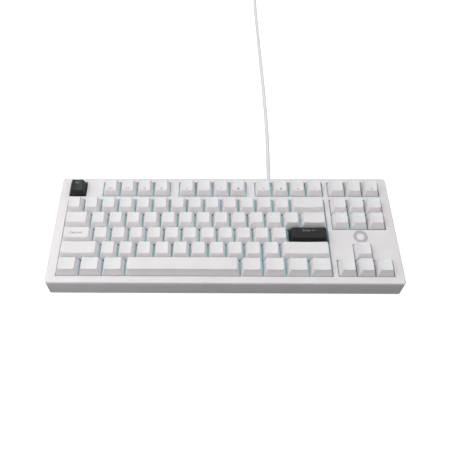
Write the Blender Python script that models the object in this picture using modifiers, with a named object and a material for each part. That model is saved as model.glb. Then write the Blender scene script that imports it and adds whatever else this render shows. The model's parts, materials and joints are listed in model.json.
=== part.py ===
"""Tenkeyless mechanical keyboard with 87 keys, a two-part case, fold-out feet and a USB cable.

World frame: +X to the user's right, +Y away from the user, +Z up, desk at z = 0.
The switch plate lies in the typing plane, an empty tilted about X that carries everything
the keys are built on: x is shared with the world, y runs up the slope, z is 0 on top of the
plate. Columns and rows are counted in key pitches.
"""
import math
from collections import namedtuple

import bmesh
import bpy
from mathutils import Matrix, Vector

# ---------------------------------------------------------------- driving dimensions
MM = 0.001
GAP = 0.3 * MM                       # clearance between neighbours that touch
BITE = 0.8 * MM                      # how far solids that are joined reach into each other

PITCH = 19.05 * MM                   # key spacing
COLUMNS = 18.3                       # width of the key field, in pitches

TILT = math.radians(5)               # slope of the typing plane
PLATE_TOP = 21.2 * MM                # height of the plate's top above the desk, mid field
ORIGIN_Y = 1.2 * MM                  # middle of the key field, behind the middle of the case

CASE_WIDTH = 369.2 * MM
CASE_FRONT = -67.9 * MM              # the case's edges in the typing plane
CASE_BACK = 66.0 * MM
CASE_CORNER = 3.4 * MM
CASE_DRAFT = math.tan(math.radians(0.8))
CASE_WALL = 2.6 * MM
CASE_FLOOR = 2.2 * MM
BEZEL_TOP = 8.0 * MM                 # above the plate
RIM = 5.8 * MM                       # underside of the bezel, above the plate
FOOT_CLEARANCE = 1.6 * MM            # case floor above the desk
OPENING_MARGIN = 0.3 * MM

PLATE_SIZE = (353 * MM, 122 * MM, 1.5 * MM)
PLATE_CORNER = 4.0 * MM
BOARD_SIZE = (352 * MM, 121 * MM, 1.6 * MM)
BOARD_TOP = -5.0 * MM                # below the plate's top

HOUSING_LOWER = 13.4 * MM            # switch housing below the plate, in a 14 mm cutout
PLATE_CUTOUT = 14.0 * MM
HOUSING_FLANGE = 15.6 * MM
HOUSING_CROWN = 10.4 * MM
HOUSING_TOP = 6.6 * MM
HOUSING_POCKET = (7.0 * MM, 6.0 * MM)
POCKET_FLOOR = -3.2 * MM

TRAVEL = 4.0 * MM                    # key travel, along the plate's normal
CAP_GAP = 0.95 * MM                  # between the skirts of neighbouring caps
CAP_SIDE_SLOPE = 2.8 * MM            # how far each side of a cap leans in
CAP_WALL = 1.4 * MM
SKIRT = 6.1 * MM                     # bottom of the caps at rest, above the plate
SLIDER_SIZE = (6.2 * MM, 5.2 * MM)
SLIDER_BOTTOM = 1.2 * MM
WEB_SIZE = (0.7 * MM, 1.4 * MM)      # strip that joins the caps of a group at their skirts

STABILISED_WIDTH = 2                 # keys this wide, in pitches, stand on stabilisers
STEM_OFFSET = 11.9 * MM              # stabiliser stems to each side of the key's middle
SPACE_STEM_OFFSET = 50.0 * MM
STEM_SIZE = (3.0 * MM, 4.0 * MM)
STEM_BOTTOM = 1.5 * MM
STEM_HOUSING_WIDTH = 6.6 * MM
STEM_HOUSING_FRONT = -6.6 * MM
STEM_HOUSING_BACK = 4.5 * MM
STEM_HOUSING_TOP = 3.2 * MM
STEM_SLOT_WIDTH = 3.7 * MM
STEM_SLOT_BACK = 2.6 * MM
STEM_SLOT_FLOOR = -4.7 * MM
WIRE_RADIUS = 0.8 * MM
WIRE_PIVOT = (-8.4 * MM, -3.6 * MM)  # y and z of the wire's long run, from the key's middle
WIRE_ARM = 8.4 * MM
WIRE_REST_ANGLE = math.asin(TRAVEL / WIRE_ARM)

BADGE_COLUMN, BADGE_ROW = 16.8, -0.625
BADGE_RADIUS = 7.2 * MM
BADGE_RECESS = 0.9 * MM
BADGE_PROUD = 0.2 * MM

PAD_SIZE = (34 * MM, 7 * MM, FOOT_CLEARANCE - GAP)
PAD_X = 150 * MM
PAD_FRONT_Y, PAD_BACK_Y = -58 * MM, 58 * MM

FOOT_X = 118 * MM                    # fold-out feet, left and right of the middle
FOOT_PIVOT = (47 * MM, 4.1 * MM)     # y and z of the feet's hinge axis, in the world
FOOT_WIDTH = 26 * MM
FOOT_LENGTH = 20 * MM
FOOT_RADIUS = 2.3 * MM
FOOT_PIN_RADIUS = 1.3 * MM
FOOT_PIN_REACH = 2.0 * MM
FOOT_RECESS_TOP = 7.3 * MM
FOOT_BOSS_WALL = 3.2 * MM

POST_RADIUS = 3.0 * MM               # posts that carry the circuit board
POST_COLUMNS = (1.5, 9.0, 16.5)      # at the corners between switches
POST_ROWS = (-1.125, 2.0)

CORD_RADIUS = 2.25 * MM
CORD_EXIT_X = 54.9 * MM
CORD_EXIT_Z = 10 * MM
GLAND_LENGTH = 19.4 * MM             # outside the case

COIL_MIDDLE_RADIUS = 25 * MM         # at the middle of the turns
COIL_TURNS_ACROSS = 4
COIL_LAYERS = 2
COIL_Y = 556 * MM
TIE_THICKNESS = 0.8 * MM
COIL_LIFT = TIE_THICKNESS + GAP      # room for the tie underneath
TIE_WIDTH = 8 * MM
TIE_BOW = 0.7 * MM                   # room for the turns' curve across the strap's width

GRIP_SIZE = (24 * MM, 13 * MM, 8 * MM)   # the plug's moulded grip
SHELL_SIZE = (12 * MM, 12 * MM, 4.5 * MM)
SHELL_WALL = 0.5 * MM
SHELL_BACK = 1.0 * MM                # closed end of the shell, inside the mouth

# The cable lies loose on the desk between the strain relief and the coil (x, y, z).
CORD_ROUTE = (
    (0.0549, 0.0860, 0.0100),
    (0.0552, 0.0930, 0.0098),
    (0.0558, 0.1030, 0.0084),
    (0.0565, 0.1140, 0.0056),
    (0.0573, 0.1280, 0.0030),
    (0.0580, 0.1450, 0.0023),
    (0.0588, 0.1800, 0.0023),
    (0.0592, 0.2300, 0.0023),
    (0.0590, 0.2800, 0.0023),
    (0.0584, 0.3300, 0.0023),
    (0.0578, 0.3800, 0.0023),
    (0.0573, 0.4300, 0.0023),
    (0.0570, 0.4700, 0.0025),
    (0.0570, 0.4900, 0.0039),
    (0.0570, 0.5130, 0.0066),
    (0.0570, 0.5290, 0.0077),
    (0.0570, 0.5388, 0.0078),
)
CORD_STEP = 2.5 * 2 * CORD_RADIUS    # spacing of the points along the cable's tube

# ---------------------------------------------------------------- the keys
# y is the row's middle in pitches; heights run from the skirt to the top's front and back
# edges; front and back place those edges from the row's middle.
Row = namedtuple("Row", "y front_height back_height front back")
KEY_ROWS = {
    "function": Row(2.625, 9.5 * MM, 11.2 * MM, -6.6 * MM, 7.0 * MM),
    "number": Row(1.375, 9.8 * MM, 11.2 * MM, -5.5 * MM, 7.1 * MM),
    "upper": Row(0.375, 9.0 * MM, 10.1 * MM, -5.6 * MM, 7.1 * MM),
    "home": Row(-0.625, 9.2 * MM, 9.6 * MM, -5.6 * MM, 6.9 * MM),
    "lower": Row(-1.625, 9.9 * MM, 9.9 * MM, -6.1 * MM, 8.0 * MM),
    "bottom": Row(-2.625, 10.0 * MM, 9.9 * MM, -6.0 * MM, 8.0 * MM),
}
Key = namedtuple("Key", "name row column width")
SINGLE_KEYS = (
    Key("key_escape", "function", 0, 1),
    Key("key_print_screen", "function", 15.3, 1),
    Key("key_scroll_lock", "function", 16.3, 1),
    Key("key_pause", "function", 17.3, 1),
    Key("key_backspace", "number", 13, 2),
    Key("key_insert", "number", 15.3, 1),
    Key("key_home", "number", 16.3, 1),
    Key("key_page_up", "number", 17.3, 1),
    Key("key_tab", "upper", 0, 1.5),
    Key("key_backslash", "upper", 13.5, 1.5),
    Key("key_delete", "upper", 15.3, 1),
    Key("key_end", "upper", 16.3, 1),
    Key("key_page_down", "upper", 17.3, 1),
    Key("key_caps_lock", "home", 0, 1.75),
    Key("key_enter", "home", 12.75, 2.25),
    Key("key_shift_left", "lower", 0, 2.25),
    Key("key_shift_right", "lower", 12.25, 2.75),
    Key("key_up", "lower", 16.3, 1),
    Key("key_control_left", "bottom", 0, 1.25),
    Key("key_super_left", "bottom", 1.25, 1.25),
    Key("key_alt_left", "bottom", 2.5, 1.25),
    Key("key_space", "bottom", 3.75, 6.25),
    Key("key_alt_right", "bottom", 10, 1.25),
    Key("key_fn", "bottom", 11.25, 1.25),
    Key("key_menu", "bottom", 12.5, 1.25),
    Key("key_control_right", "bottom", 13.75, 1.25),
    Key("key_left", "bottom", 15.3, 1),
    Key("key_down", "bottom", 16.3, 1),
    Key("key_right", "bottom", 17.3, 1),
)
# Runs of one-pitch keys that share a node: the name, the row, the first column and the count.
KeyRun = namedtuple("KeyRun", "name row column count")
KEY_RUNS = (
    KeyRun("keys_f1_to_f4", "function", 2, 4),
    KeyRun("keys_f5_to_f8", "function", 6.5, 4),
    KeyRun("keys_f9_to_f12", "function", 11, 4),
    KeyRun("keys_number_left", "number", 0, 7),
    KeyRun("keys_number_right", "number", 7, 6),
    KeyRun("keys_upper_row", "upper", 1.5, 12),
    KeyRun("keys_home_row", "home", 1.75, 11),
    KeyRun("keys_lower_row", "lower", 2.25, 10),
)
# Openings in the bezel: left and right column, lower and upper edge in pitches from mid field.
BEZEL_OPENINGS = (
    (0, 1, 2.125, 3.125),
    (2, 6, 2.125, 3.125),
    (6.5, 10.5, 2.125, 3.125),
    (11, 15, 2.125, 3.125),
    (15.3, 18.3, 2.125, 3.125),
    (0, 15, -3.125, 1.875),
    (15.3, 18.3, -0.16, 1.875),
    (15.3, 18.3, -3.125, -2.125),
    (16.3, 17.3, -2.625, -1.125),
)

# ---------------------------------------------------------------- finishes
# Each finish is a colour, a roughness and a metallic value.
FINISHES = {
    "white_shell": ((0.80, 0.79, 0.80), 0.42, 0.0),
    "white_cap": ((0.82, 0.82, 0.83), 0.50, 0.0),
    "black_cap": ((0.02, 0.02, 0.022), 0.45, 0.0),
    "white_plate": ((0.75, 0.77, 0.78), 0.40, 0.2),
    "board": ((0.03, 0.05, 0.04), 0.50, 0.0),
    "grey_badge": ((0.35, 0.35, 0.37), 0.35, 0.3),
    "steel": ((0.62, 0.62, 0.64), 0.25, 1.0),
    "rubber": ((0.05, 0.05, 0.055), 0.80, 0.0),
    "cord": ((0.78, 0.78, 0.79), 0.55, 0.0),
    "tie": ((0.55, 0.55, 0.57), 0.85, 0.0),
}


def clear_scene():
    """Start from an empty scene with one collection for the parts and one for the cutters."""
    for old in list(bpy.data.objects):
        bpy.data.objects.remove(old, do_unlink=True)
    collections = []
    for name in ("mechanical_keyboard", "cutters"):
        collection = bpy.data.collections.new(name)
        bpy.context.scene.collection.children.link(collection)
        collections.append(collection)
    return collections


PARTS, CUTTERS = clear_scene()


# ---------------------------------------------------------------- frames and placing
def make_typing_plane():
    """The empty that stands for the plate's top surface."""
    plane = bpy.data.objects.new("typing_plane", None)
    plane.location = (0, ORIGIN_Y, PLATE_TOP)
    plane.rotation_euler = (TILT, 0, 0)
    PARTS.objects.link(plane)
    return plane


TYPING_PLANE = make_typing_plane()


def typing_to_world(x, y, z):
    """World position of a point given in the typing plane."""
    return Vector((x, ORIGIN_Y + y * math.cos(TILT) - z * math.sin(TILT),
                   PLATE_TOP + y * math.sin(TILT) + z * math.cos(TILT)))


def column_x(column):
    """World x of a column edge, counted in pitches from the left."""
    return (column - COLUMNS / 2) * PITCH


def make_material(name, finish):
    colour, roughness, metallic = FINISHES[finish]
    material = bpy.data.materials.new(name)
    material.use_nodes = True
    shader = material.node_tree.nodes["Principled BSDF"]
    shader.inputs["Base Color"].default_value = (*colour, 1)
    shader.inputs["Roughness"].default_value = roughness
    shader.inputs["Metallic"].default_value = metallic
    return material


def place(name, data, finish, parent=None, location=(0, 0, 0)):
    """Put mesh or curve data in the scene as one named sub-part."""
    part = bpy.data.objects.new(name, data)
    part.data.materials.append(make_material(name, finish))
    part.parent = parent
    part.location = location
    PARTS.objects.link(part)
    return part


def mesh_from(bm, name):
    mesh = bpy.data.meshes.new(name)
    bmesh.ops.recalc_face_normals(bm, faces=bm.faces)
    bm.to_mesh(mesh)
    bm.free()
    return mesh


def combine(part, bm, operation, label):
    """Cut a part with, or join it to, a helper mesh given in the part's own coordinates."""
    helper = bpy.data.objects.new(f"{part.name}_{label}", mesh_from(bm, label))
    helper.parent = part.parent
    helper.location = part.location
    helper.rotation_euler = part.rotation_euler
    helper.hide_render = True
    helper.display_type = "WIRE"
    CUTTERS.objects.link(helper)
    modifier = part.modifiers.new(label, "BOOLEAN")
    modifier.operation = operation
    modifier.solver = "EXACT"
    modifier.object = helper


# ---------------------------------------------------------------- mesh building blocks
def add_box(bm, size, centre):
    """Add a box and return its vertices."""
    matrix = Matrix.Translation(centre) @ Matrix.Diagonal((*size, 1))
    return bmesh.ops.create_cube(bm, size=1, matrix=matrix)["verts"]


def add_block(bm, x_range, y_range, z_range):
    """Add a box given by its limits on each axis."""
    limits = (x_range, y_range, z_range)
    size = [high - low for low, high in limits]
    centre = [(high + low) / 2 for low, high in limits]
    return add_box(bm, size, centre)


def round_upright_edges(bm, verts, radius, segments):
    """Round the edges of a box that run along z."""
    edges = {edge for vert in verts for edge in vert.link_edges
             if abs(edge.verts[0].co.z - edge.verts[1].co.z) > radius / 10
             and abs(edge.verts[0].co.x - edge.verts[1].co.x) < radius / 10
             and abs(edge.verts[0].co.y - edge.verts[1].co.y) < radius / 10}
    bmesh.ops.bevel(bm, geom=list(edges), offset=radius, segments=segments,
                    profile=0.5, affect="EDGES")


def grow(bm, face, size, rise):
    """Extrude a level face, then give the new face its size and its height."""
    new_face = bmesh.ops.extrude_discrete_faces(bm, faces=[face])["faces"][0]
    centre = new_face.calc_center_median()
    for vert in new_face.verts:
        offset = vert.co - centre
        vert.co.x = centre.x + math.copysign(size[0] / 2, offset.x)
        vert.co.y = centre.y + math.copysign(size[1] / 2, offset.y)
        vert.co.z = centre.z + rise
    return new_face


def top_face(verts):
    """The level face that the highest vertices of a box share."""
    faces = {face for vert in verts for face in vert.link_faces}
    return max(faces, key=lambda face: face.calc_center_median().z)


def turned(name, profile, finish, parent, location, rotation, steps):
    """A closed turned solid: a profile of (radius, height) pairs, top to bottom, about z."""
    bm = bmesh.new()
    verts = [bm.verts.new((radius, 0, height)) for radius, height in profile]
    for start, end in zip(verts, verts[1:]):
        bm.edges.new((start, end))
    mesh = bpy.data.meshes.new(name)
    bm.to_mesh(mesh)
    bm.free()
    part = place(name, mesh, finish, parent, location)
    part.rotation_euler = rotation
    screw = part.modifiers.new("turn", "SCREW")
    screw.steps = steps
    screw.render_steps = steps
    screw.use_merge_vertices = True
    screw.merge_threshold = 0.00001
    screw.use_smooth_shade = True
    return part


def tube(name, points, radius, finish, parent=None, location=(0, 0, 0)):
    """A round rod or cable along a chain of points."""
    curve = bpy.data.curves.new(name, "CURVE")
    curve.dimensions = "3D"
    curve.bevel_depth = radius
    curve.bevel_resolution = 2
    curve.use_fill_caps = True
    spline = curve.splines.new("POLY")
    spline.points.add(len(points) - 1)
    for point, position in zip(spline.points, points):
        point.co = (*position, 1)
    return place(name, curve, finish, parent, location)


def smooth_route(route, step):
    """Points about one step apart on a Catmull-Rom curve through the route's points."""
    knots = [Vector(point) for point in route]
    knots = [2 * knots[0] - knots[1], *knots, 2 * knots[-1] - knots[-2]]
    points = []
    for before, start, end, after in zip(knots, knots[1:], knots[2:], knots[3:]):
        count = max(1, round((end - start).length / step))
        for index in range(count):
            t = index / count
            points.append(0.5 * (2 * start + (end - before) * t
                                 + (2 * before - 5 * start + 4 * end - after) * t * t
                                 + (3 * start - before - 3 * end + after) * t ** 3))
    points.append(knots[-2])
    return points


# ---------------------------------------------------------------- key layout
def key_middle(row, column, width):
    """Middle of a key in the typing plane, at the height of its skirt."""
    return Vector((column_x(column + width / 2), KEY_ROWS[row].y * PITCH, SKIRT))


def run_keys(run):
    return [Key(run.name, run.row, run.column + index, 1) for index in range(run.count)]


def all_keys():
    keys = list(SINGLE_KEYS)
    for run in KEY_RUNS:
        keys.extend(run_keys(run))
    return keys


def stem_offsets(key):
    """Where a key's stabiliser stems are, to each side of its middle."""
    if key.width < STABILISED_WIDTH:
        return ()
    reach = SPACE_STEM_OFFSET if key.name == "key_space" else STEM_OFFSET
    return (-reach, reach)


# ---------------------------------------------------------------- case
def case_outline(bm, inset, low, high):
    """The case's rounded block in the typing plane, narrower at its lower end by the draft."""
    verts = add_block(bm, (-CASE_WIDTH / 2 + inset, CASE_WIDTH / 2 - inset),
                      (CASE_FRONT + inset, CASE_BACK - inset), (low, high))
    round_upright_edges(bm, verts, CASE_CORNER - inset, 4)
    middle = Vector((0, (CASE_FRONT + CASE_BACK) / 2, 0))
    for vert in bm.verts:
        lean = (BEZEL_TOP - vert.co.z) * CASE_DRAFT
        vert.co.x -= math.copysign(lean, vert.co.x - middle.x)
        vert.co.y -= math.copysign(lean, vert.co.y - middle.y)


def make_top_case():
    """The bezel: a rounded plate with an opening for each block of keys."""
    bm = bmesh.new()
    case_outline(bm, 0, RIM, BEZEL_TOP)
    case = place("top_case", mesh_from(bm, "top_case"), "white_shell", TYPING_PLANE)

    for index, (left, right, lower, upper) in enumerate(BEZEL_OPENINGS):
        opening = bmesh.new()
        add_block(opening, (column_x(left) - OPENING_MARGIN, column_x(right) + OPENING_MARGIN),
                  (lower * PITCH - OPENING_MARGIN, upper * PITCH + OPENING_MARGIN),
                  (0, BEZEL_TOP + BITE))
        combine(case, opening, "DIFFERENCE", f"opening_{index}")

    recess = bmesh.new()
    bmesh.ops.create_cone(recess, cap_ends=True, segments=24, radius1=BADGE_RADIUS + GAP,
                          radius2=BADGE_RADIUS + GAP, depth=2 * BADGE_RECESS,
                          matrix=Matrix.Translation((column_x(BADGE_COLUMN), BADGE_ROW * PITCH,
                                                     BEZEL_TOP)))
    combine(case, recess, "DIFFERENCE", "badge_recess")


def lay_tray(bm, wall, floor):
    """Bend an outline's block into the tray: its lower end is level, at the floor's height."""
    for vert in bm.verts:
        if vert.co.z > 0:
            vert.co = typing_to_world(*vert.co)
            continue
        top = typing_to_world(vert.co.x, vert.co.y, RIM - GAP)
        drawn = RIM - GAP - vert.co.z      # the block's own height, which leans already
        lean = (top.z - floor - drawn) * CASE_DRAFT + wall / 10
        vert.co.x -= math.copysign(lean, vert.co.x)
        vert.co.y = top.y - math.copysign(lean, vert.co.y)
        vert.co.z = floor


def foot_recesses(bm, grow_by, low, high):
    """A block over each fold-out foot, from its hinge forward to beyond its tip."""
    for side in (-1, 1):
        middle = side * FOOT_X
        half = FOOT_WIDTH / 2 + 2 * GAP + grow_by
        add_block(bm, (middle - half, middle + half),
                  (FOOT_PIVOT[0] - FOOT_LENGTH - 2 * MM - grow_by,
                   FOOT_PIVOT[0] + FOOT_RADIUS + MM + grow_by), (low, high))


def make_bottom_case():
    """The tray: walls up to the bezel, a level floor, posts, and recesses for the feet."""
    bm = bmesh.new()
    case_outline(bm, 0, -RIM, RIM - GAP)
    lay_tray(bm, 0, FOOT_CLEARANCE)
    tray = place("bottom_case", mesh_from(bm, "bottom_case"), "white_shell")

    hollow = bmesh.new()
    case_outline(hollow, CASE_WALL, -RIM, RIM + BITE)
    lay_tray(hollow, CASE_WALL, FOOT_CLEARANCE + CASE_FLOOR)
    combine(tray, hollow, "DIFFERENCE", "hollow")

    bosses = bmesh.new()
    foot_recesses(bosses, FOOT_BOSS_WALL, FOOT_CLEARANCE + BITE, FOOT_RECESS_TOP + CASE_FLOOR)
    combine(tray, bosses, "UNION", "foot_bosses")

    posts = bmesh.new()
    for column in POST_COLUMNS:
        for row in POST_ROWS:
            y = row * PITCH
            underside = BOARD_TOP - BOARD_SIZE[2] - GAP
            top = typing_to_world(0, y - POST_RADIUS, underside)
            height = top.z - FOOT_CLEARANCE - BITE
            bmesh.ops.create_cone(posts, cap_ends=True, segments=12, radius1=POST_RADIUS,
                                  radius2=POST_RADIUS, depth=height,
                                  matrix=Matrix.Translation((column_x(column), top.y,
                                                             top.z - height / 2)))
    combine(tray, posts, "UNION", "posts")

    recesses = bmesh.new()
    foot_recesses(recesses, 0, 0, FOOT_RECESS_TOP)
    combine(tray, recesses, "DIFFERENCE", "foot_recesses")

    bores = bmesh.new()
    for side in (-1, 1):
        add_rod(bores, FOOT_PIN_RADIUS + GAP, FOOT_WIDTH + 2 * (FOOT_PIN_REACH + 2 * GAP),
                (side * FOOT_X, *FOOT_PIVOT), "X", 16)
    combine(tray, bores, "DIFFERENCE", "foot_pin_bores")

    exit_hole = bmesh.new()
    add_rod(exit_hole, 4.0 * MM, 12 * MM, (CORD_EXIT_X, back_wall_y(), CORD_EXIT_Z), "Y", 20)
    combine(tray, exit_hole, "DIFFERENCE", "cable_hole")


def add_rod(bm, radius, length, centre, axis, segments):
    """Add a cylinder along X or Y."""
    turn = Matrix.Rotation(math.pi / 2, 4, "Y" if axis == "X" else "X")
    bmesh.ops.create_cone(bm, cap_ends=True, segments=segments, radius1=radius, radius2=radius,
                          depth=length, matrix=Matrix.Translation(centre) @ turn)


def back_wall_y():
    """Outer face of the tray's back wall at the height of the cable."""
    rim = typing_to_world(0, CASE_BACK - (BEZEL_TOP - RIM + GAP) * CASE_DRAFT, RIM - GAP)
    return rim.y - (rim.z - CORD_EXIT_Z) * CASE_DRAFT


# ---------------------------------------------------------------- plate and circuit board
def make_switch_plate():
    """The steel plate that the switches clip into, with cutouts for stabilisers."""
    bm = bmesh.new()
    verts = add_block(bm, (-PLATE_SIZE[0] / 2, PLATE_SIZE[0] / 2),
                      (-PLATE_SIZE[1] / 2, PLATE_SIZE[1] / 2), (-PLATE_SIZE[2], 0))
    round_upright_edges(bm, verts, PLATE_CORNER, 3)
    plate = place("switch_plate", mesh_from(bm, "switch_plate"), "white_plate", TYPING_PLANE)

    switch_holes = bmesh.new()
    stabiliser_holes = bmesh.new()
    through = (-PLATE_SIZE[2] - BITE, BITE)
    for key in all_keys():
        middle = key_middle(key.row, key.column, key.width)
        half = PLATE_CUTOUT / 2
        add_block(switch_holes, (middle.x - half, middle.x + half),
                  (middle.y - half, middle.y + half), through)
        for offset in stem_offsets(key):
            half = STEM_HOUSING_WIDTH / 2 + GAP
            add_block(stabiliser_holes, (middle.x + offset - half, middle.x + offset + half),
                      (middle.y + STEM_HOUSING_FRONT - BITE,
                       middle.y + STEM_HOUSING_BACK + GAP), through)
    combine(plate, switch_holes, "DIFFERENCE", "switch_holes")
    combine(plate, stabiliser_holes, "DIFFERENCE", "stabiliser_holes")


def add_switch_housing(bm, middle):
    """A switch housing: a square body, a flange over the plate, a tapered crown, a pocket."""
    bottom = BOARD_TOP - BITE
    half = HOUSING_LOWER / 2
    verts = add_block(bm, (middle.x - half, middle.x + half), (middle.y - half, middle.y + half),
                      (bottom, GAP))
    face = grow(bm, top_face(verts), (HOUSING_FLANGE, HOUSING_FLANGE), 0)
    face = grow(bm, face, (HOUSING_CROWN, HOUSING_CROWN), HOUSING_TOP - GAP)
    face = grow(bm, face, HOUSING_POCKET, 0)
    grow(bm, face, HOUSING_POCKET, POCKET_FLOOR - HOUSING_TOP)


def make_circuit_board():
    """The circuit board with the soldered switch housings and the stabiliser housings."""
    bm = bmesh.new()
    verts = add_block(bm, (-BOARD_SIZE[0] / 2, BOARD_SIZE[0] / 2),
                      (-BOARD_SIZE[1] / 2, BOARD_SIZE[1] / 2),
                      (BOARD_TOP - BOARD_SIZE[2], BOARD_TOP))
    round_upright_edges(bm, verts, PLATE_CORNER, 3)
    board = place("circuit_board", mesh_from(bm, "circuit_board"), "board", TYPING_PLANE)

    housings = bmesh.new()
    slots = bmesh.new()
    for key in all_keys():
        middle = key_middle(key.row, key.column, key.width)
        add_switch_housing(housings, middle)
        for offset in stem_offsets(key):
            x = middle.x + offset
            half = STEM_HOUSING_WIDTH / 2
            add_block(housings, (x - half, x + half),
                      (middle.y + STEM_HOUSING_FRONT, middle.y + STEM_HOUSING_BACK),
                      (BOARD_TOP - BITE, STEM_HOUSING_TOP))
            half = STEM_SLOT_WIDTH / 2
            add_block(slots, (x - half, x + half),
                      (middle.y + STEM_HOUSING_FRONT - BITE, middle.y + STEM_SLOT_BACK),
                      (STEM_SLOT_FLOOR, STEM_HOUSING_TOP + BITE))
    combine(board, housings, "UNION", "housings")
    combine(board, slots, "DIFFERENCE", "stem_slots")


def make_stabiliser_wires():
    """Each wide key's wire, which rocks about its long run as the key goes down."""
    arm_y = WIRE_ARM * math.cos(WIRE_REST_ANGLE)
    arm_z = WIRE_ARM * math.sin(WIRE_REST_ANGLE)
    for key in SINGLE_KEYS:
        for reach in stem_offsets(key)[1:]:
            middle = key_middle(key.row, key.column, key.width)
            points = ((-reach, arm_y, arm_z), (-reach, 0, 0), (reach, 0, 0),
                      (reach, arm_y, arm_z))
            tube(key.name.replace("key_", "stabiliser_wire_"), points, WIRE_RADIUS, "steel",
                 TYPING_PLANE, (middle.x, middle.y + WIRE_PIVOT[0], WIRE_PIVOT[1]))


# ---------------------------------------------------------------- keys
def add_cap(bm, key, x):
    """A cap's outer faces, open below: a box whose top is smaller, sloped and set back."""
    row = KEY_ROWS[key.row]
    width = key.width * PITCH - CAP_GAP
    depth = PITCH - CAP_GAP
    verts = add_block(bm, (x - width / 2, x + width / 2), (-depth / 2, depth / 2),
                      (0, row.front_height))
    floor = min({face for vert in verts for face in vert.link_faces},
                key=lambda face: face.calc_center_median().z)
    bmesh.ops.delete(bm, geom=[floor], context="FACES_ONLY")
    for vert in verts:
        if vert.co.z > row.front_height / 2:
            behind = vert.co.y > 0
            vert.co.x -= math.copysign(CAP_SIDE_SLOPE, vert.co.x - x)
            vert.co.y = row.back if behind else row.front
            vert.co.z = row.back_height if behind else row.front_height


def add_stems(bm, key, x):
    """The slider of a cap's switch and the stems of its stabiliser, up into the cap's roof."""
    row = KEY_ROWS[key.row]
    slope = (row.back_height - row.front_height) / (row.back - row.front)
    roof = row.front_height - slope * row.front - CAP_WALL / 2
    half_x, half_y = SLIDER_SIZE[0] / 2, SLIDER_SIZE[1] / 2
    add_block(bm, (x - half_x, x + half_x), (-half_y, half_y), (SLIDER_BOTTOM - SKIRT, roof))
    half_x, half_y = STEM_SIZE[0] / 2, STEM_SIZE[1] / 2
    for offset in stem_offsets(key):
        add_block(bm, (x + offset - half_x, x + offset + half_x), (-half_y, half_y),
                  (STEM_BOTTOM - SKIRT, roof))


def make_caps(name, keys, finish):
    """One key, or a run of keys in a row, as a solid whose origin is on its slide axis."""
    first, last = keys[0], keys[-1]
    middle = key_middle(first.row, first.column, last.column + last.width - first.column)
    shells = bmesh.new()
    stems = bmesh.new()
    offsets = [key_middle(key.row, key.column, key.width).x - middle.x for key in keys]
    for key, x in zip(keys, offsets):
        add_cap(shells, key, x)
        add_stems(stems, key, x)
    caps = place(name, mesh_from(shells, name), finish, TYPING_PLANE, middle)
    shell = caps.modifiers.new("shell", "SOLIDIFY")
    shell.thickness = CAP_WALL
    shell.offset = -1
    shell.use_even_offset = True
    combine(caps, stems, "UNION", "stems")
    if len(keys) > 1:
        web = bmesh.new()
        front = -(PITCH - CAP_GAP) / 2 + GAP
        add_block(web, (offsets[0], offsets[-1]), (front, front + WEB_SIZE[0]),
                  (GAP, GAP + WEB_SIZE[1]))
        combine(caps, web, "UNION", "web")


def make_keys():
    for key in SINGLE_KEYS:
        dark = key.name in ("key_escape", "key_enter")
        make_caps(key.name, [key], "black_cap" if dark else "white_cap")
    for run in KEY_RUNS:
        make_caps(run.name, run_keys(run), "white_cap")


# ---------------------------------------------------------------- small parts of the case
def make_badge():
    """A plain disc let into the bezel between the navigation keys and the arrow keys."""
    bottom = BEZEL_TOP - BADGE_RECESS + GAP
    top = BEZEL_TOP + BADGE_PROUD
    turned("emblem_badge", ((0, top), (BADGE_RADIUS - GAP, top), (BADGE_RADIUS, top - GAP),
                            (BADGE_RADIUS, bottom), (0, bottom)), "grey_badge", TYPING_PLANE,
           (column_x(BADGE_COLUMN), BADGE_ROW * PITCH, 0), (0, 0, 0), 24)


def make_rubber_pads():
    """Four pads under the case's corners, which the keyboard stands on."""
    for end, y in (("front", PAD_FRONT_Y), ("back", PAD_BACK_Y)):
        for side, x in (("left", -PAD_X), ("right", PAD_X)):
            bm = bmesh.new()
            verts = add_block(bm, (-PAD_SIZE[0] / 2, PAD_SIZE[0] / 2),
                              (-PAD_SIZE[1] / 2, PAD_SIZE[1] / 2), (0, PAD_SIZE[2]))
            round_upright_edges(bm, verts, PAD_SIZE[1] * 0.45, 3)
            name = f"rubber_pad_{end}_{side}"
            place(name, mesh_from(bm, name), "rubber", None, (x, y, 0))


def make_fold_out_feet():
    """Two feet that lie in their recesses and swing down and back about their pins."""
    for side, name in ((-1, "tilt_foot_left"), (1, "tilt_foot_right")):
        bm = bmesh.new()
        half = FOOT_WIDTH / 2
        add_block(bm, (-half, half), (-FOOT_LENGTH, 0), (-FOOT_RADIUS, FOOT_RADIUS))
        foot = place(name, mesh_from(bm, name), "white_shell", None,
                     (side * FOOT_X, *FOOT_PIVOT))
        knuckle = bmesh.new()
        add_rod(knuckle, FOOT_RADIUS, FOOT_WIDTH, (0, 0, 0), "X", 24)
        combine(foot, knuckle, "UNION", "knuckle")
        pins = bmesh.new()
        add_rod(pins, FOOT_PIN_RADIUS, FOOT_WIDTH + 2 * FOOT_PIN_REACH, (0, 0, 0), "X", 16)
        combine(foot, pins, "UNION", "pins")


# ---------------------------------------------------------------- cable
def make_strain_relief():
    """The tapered boot that holds the cable in the back wall, with a flange inside it."""
    wall_in = -CASE_WALL - 2 * GAP
    profile = ((0, GLAND_LENGTH), (2.9 * MM, GLAND_LENGTH), (4.3 * MM, 3 * MM),
               (5.2 * MM, 2.4 * MM), (5.2 * MM, 2 * GAP), (3.7 * MM, 2 * GAP),
               (3.7 * MM, wall_in), (5.0 * MM, wall_in), (5.0 * MM, wall_in - 1.5 * MM),
               (0, wall_in - 1.5 * MM))
    turned("strain_relief", profile, "cord", None,
           (CORD_EXIT_X, back_wall_y(), CORD_EXIT_Z), (-math.pi / 2, 0, 0), 20)


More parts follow.
